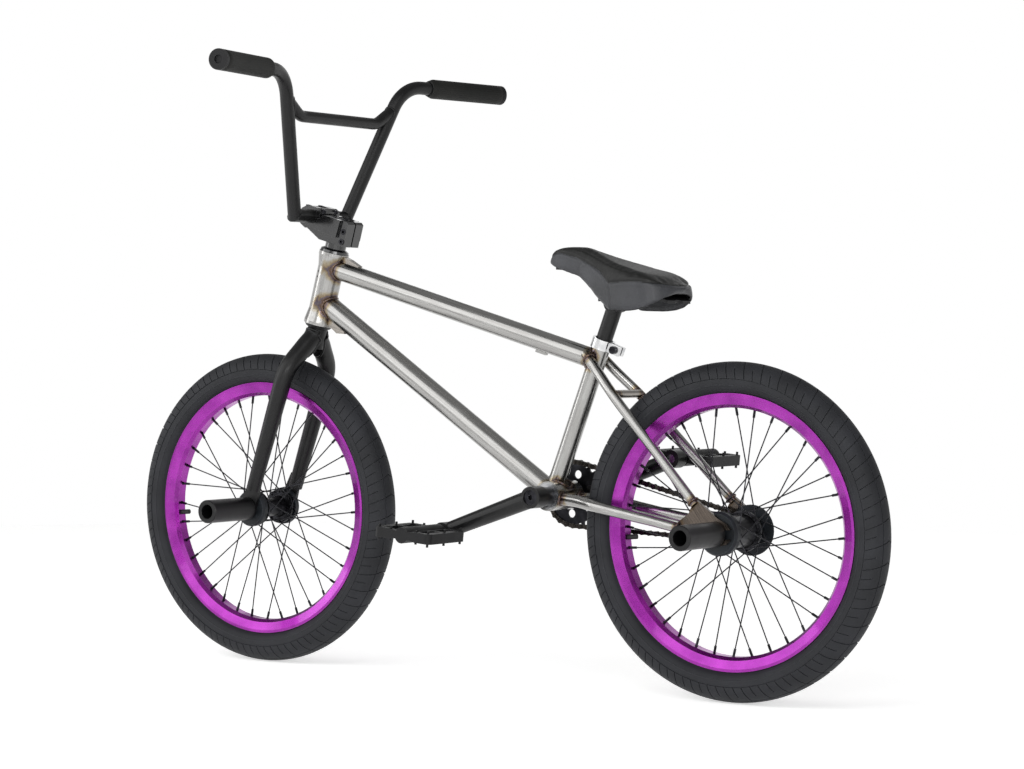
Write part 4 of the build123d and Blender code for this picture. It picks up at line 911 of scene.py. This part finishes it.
def add_floor():
    """Plain pale studio floor: a painted disc that glows a little, so that it reads as white."""
    material, tree, place = open_material("pale_floor_paint")
    shade = add(tree, "TexNoise", {"Vector": place, "Scale": per(400.0), "Detail": 4.0})
    colour = add(tree, "ValToRGB", {"Fac": shade}, stops=two_tone("#f2f2f1", "#f6f6f6"))
    close_material(tree, {
        "Base Color": colour, "Roughness": 0.9, "Specular IOR Level": 0.2,
        "Emission Color": (1.0, 1.0, 1.0, 1.0), "Emission Strength": FLOOR_GLOW,
    })
    sides, reach = 96, 3.6
    turns = [math.tau * k / sides for k in range(sides)]
    rim = [(reach * math.cos(turn), reach * math.sin(turn), -0.0005) for turn in turns]
    mesh = bpy.data.meshes.new("studio_floor")
    mesh.from_pydata(rim, [], [tuple(range(sides))])
    mesh.materials.append(material)
    floor = bpy.data.objects.new("studio_floor", mesh)
    bpy.context.scene.collection.objects.link(floor)


def add_softbox(name, place, aim, size, power):
    """Rectangular soft light that faces a point."""
    light = bpy.data.lights.new(name, "AREA")
    light.shape = "RECTANGLE"
    light.size, light.size_y = size
    light.energy = power
    lamp = bpy.data.objects.new(name, light)
    lamp.location = place
    lamp.rotation_euler = (Vector(aim) - Vector(place)).to_track_quat("-Z", "Y").to_euler()
    bpy.context.scene.collection.objects.link(lamp)


def add_world():
    """Bright at the horizon, like a lit white wall, and dimmer overhead."""
    world = bpy.data.worlds.new("studio")
    bpy.context.scene.world = world
    world.use_nodes = True
    tree = world.node_tree
    tree.nodes.clear()
    direction = add(tree, "TexCoord", out="Generated")
    height = add(tree, "SeparateXYZ", {0: direction}, "Z")
    lifted = add(tree, "Math", {0: height, 1: 0.5, 2: 0.5}, operation="MULTIPLY_ADD")
    levels = [(place, (level, level, level, 1.0)) for place, level in WALL_AND_CEILING]
    sky = add(tree, "ValToRGB", {"Fac": lifted}, stops=levels)
    glow = add(tree, "Background", {"Color": sky, "Strength": 1.0})
    add(tree, "OutputWorld", {"Surface": glow}, out=None)


def add_camera():
    """Camera low on the bike's left, behind it."""
    camera = bpy.data.objects.new("camera", bpy.data.cameras.new("camera"))
    camera.data.sensor_width = 36.0
    camera.data.lens = 100.2
    right = Vector((-0.83384, -0.55194, 0.00859))
    up = Vector((0.01861, -0.01255, 0.99975))
    forward = Vector((0.55169, -0.83379, -0.02074))
    turn = Matrix((right, up, -forward)).transposed().to_4x4()
    camera.matrix_world = Matrix.Translation((-2.5292, 3.7583, 0.5651)) @ turn
    camera.data.clip_end = 200.0
    bpy.context.scene.collection.objects.link(camera)
    bpy.context.scene.camera = camera


add_floor()
add_world()
add_softbox("key_softbox", (-2.6, 3.6, 1.3), (0, 0, 0.5), (3.4, 0.8), 60.0)
add_softbox("tube_softbox", (1.9, 3.5, 2.5), (0.1, 0, 0.45), (3.8, 3.2), 68.0)
add_softbox("high_softbox", (-1.4, 2.4, 3.0), (0, 0, 0.4), (3.6, 1.6), 25.0)
add_softbox("front_strip", (3.2, 1.6, 1.6), (0.2, 0, 0.5), (0.8, 2.4), 20.0)
add_softbox("back_fill", (1.2, -3.8, 1.8), (0, 0, 0.5), (3.0, 1.6), 12.0)
add_camera()
bpy.context.scene.view_settings.view_transform = "Standard"
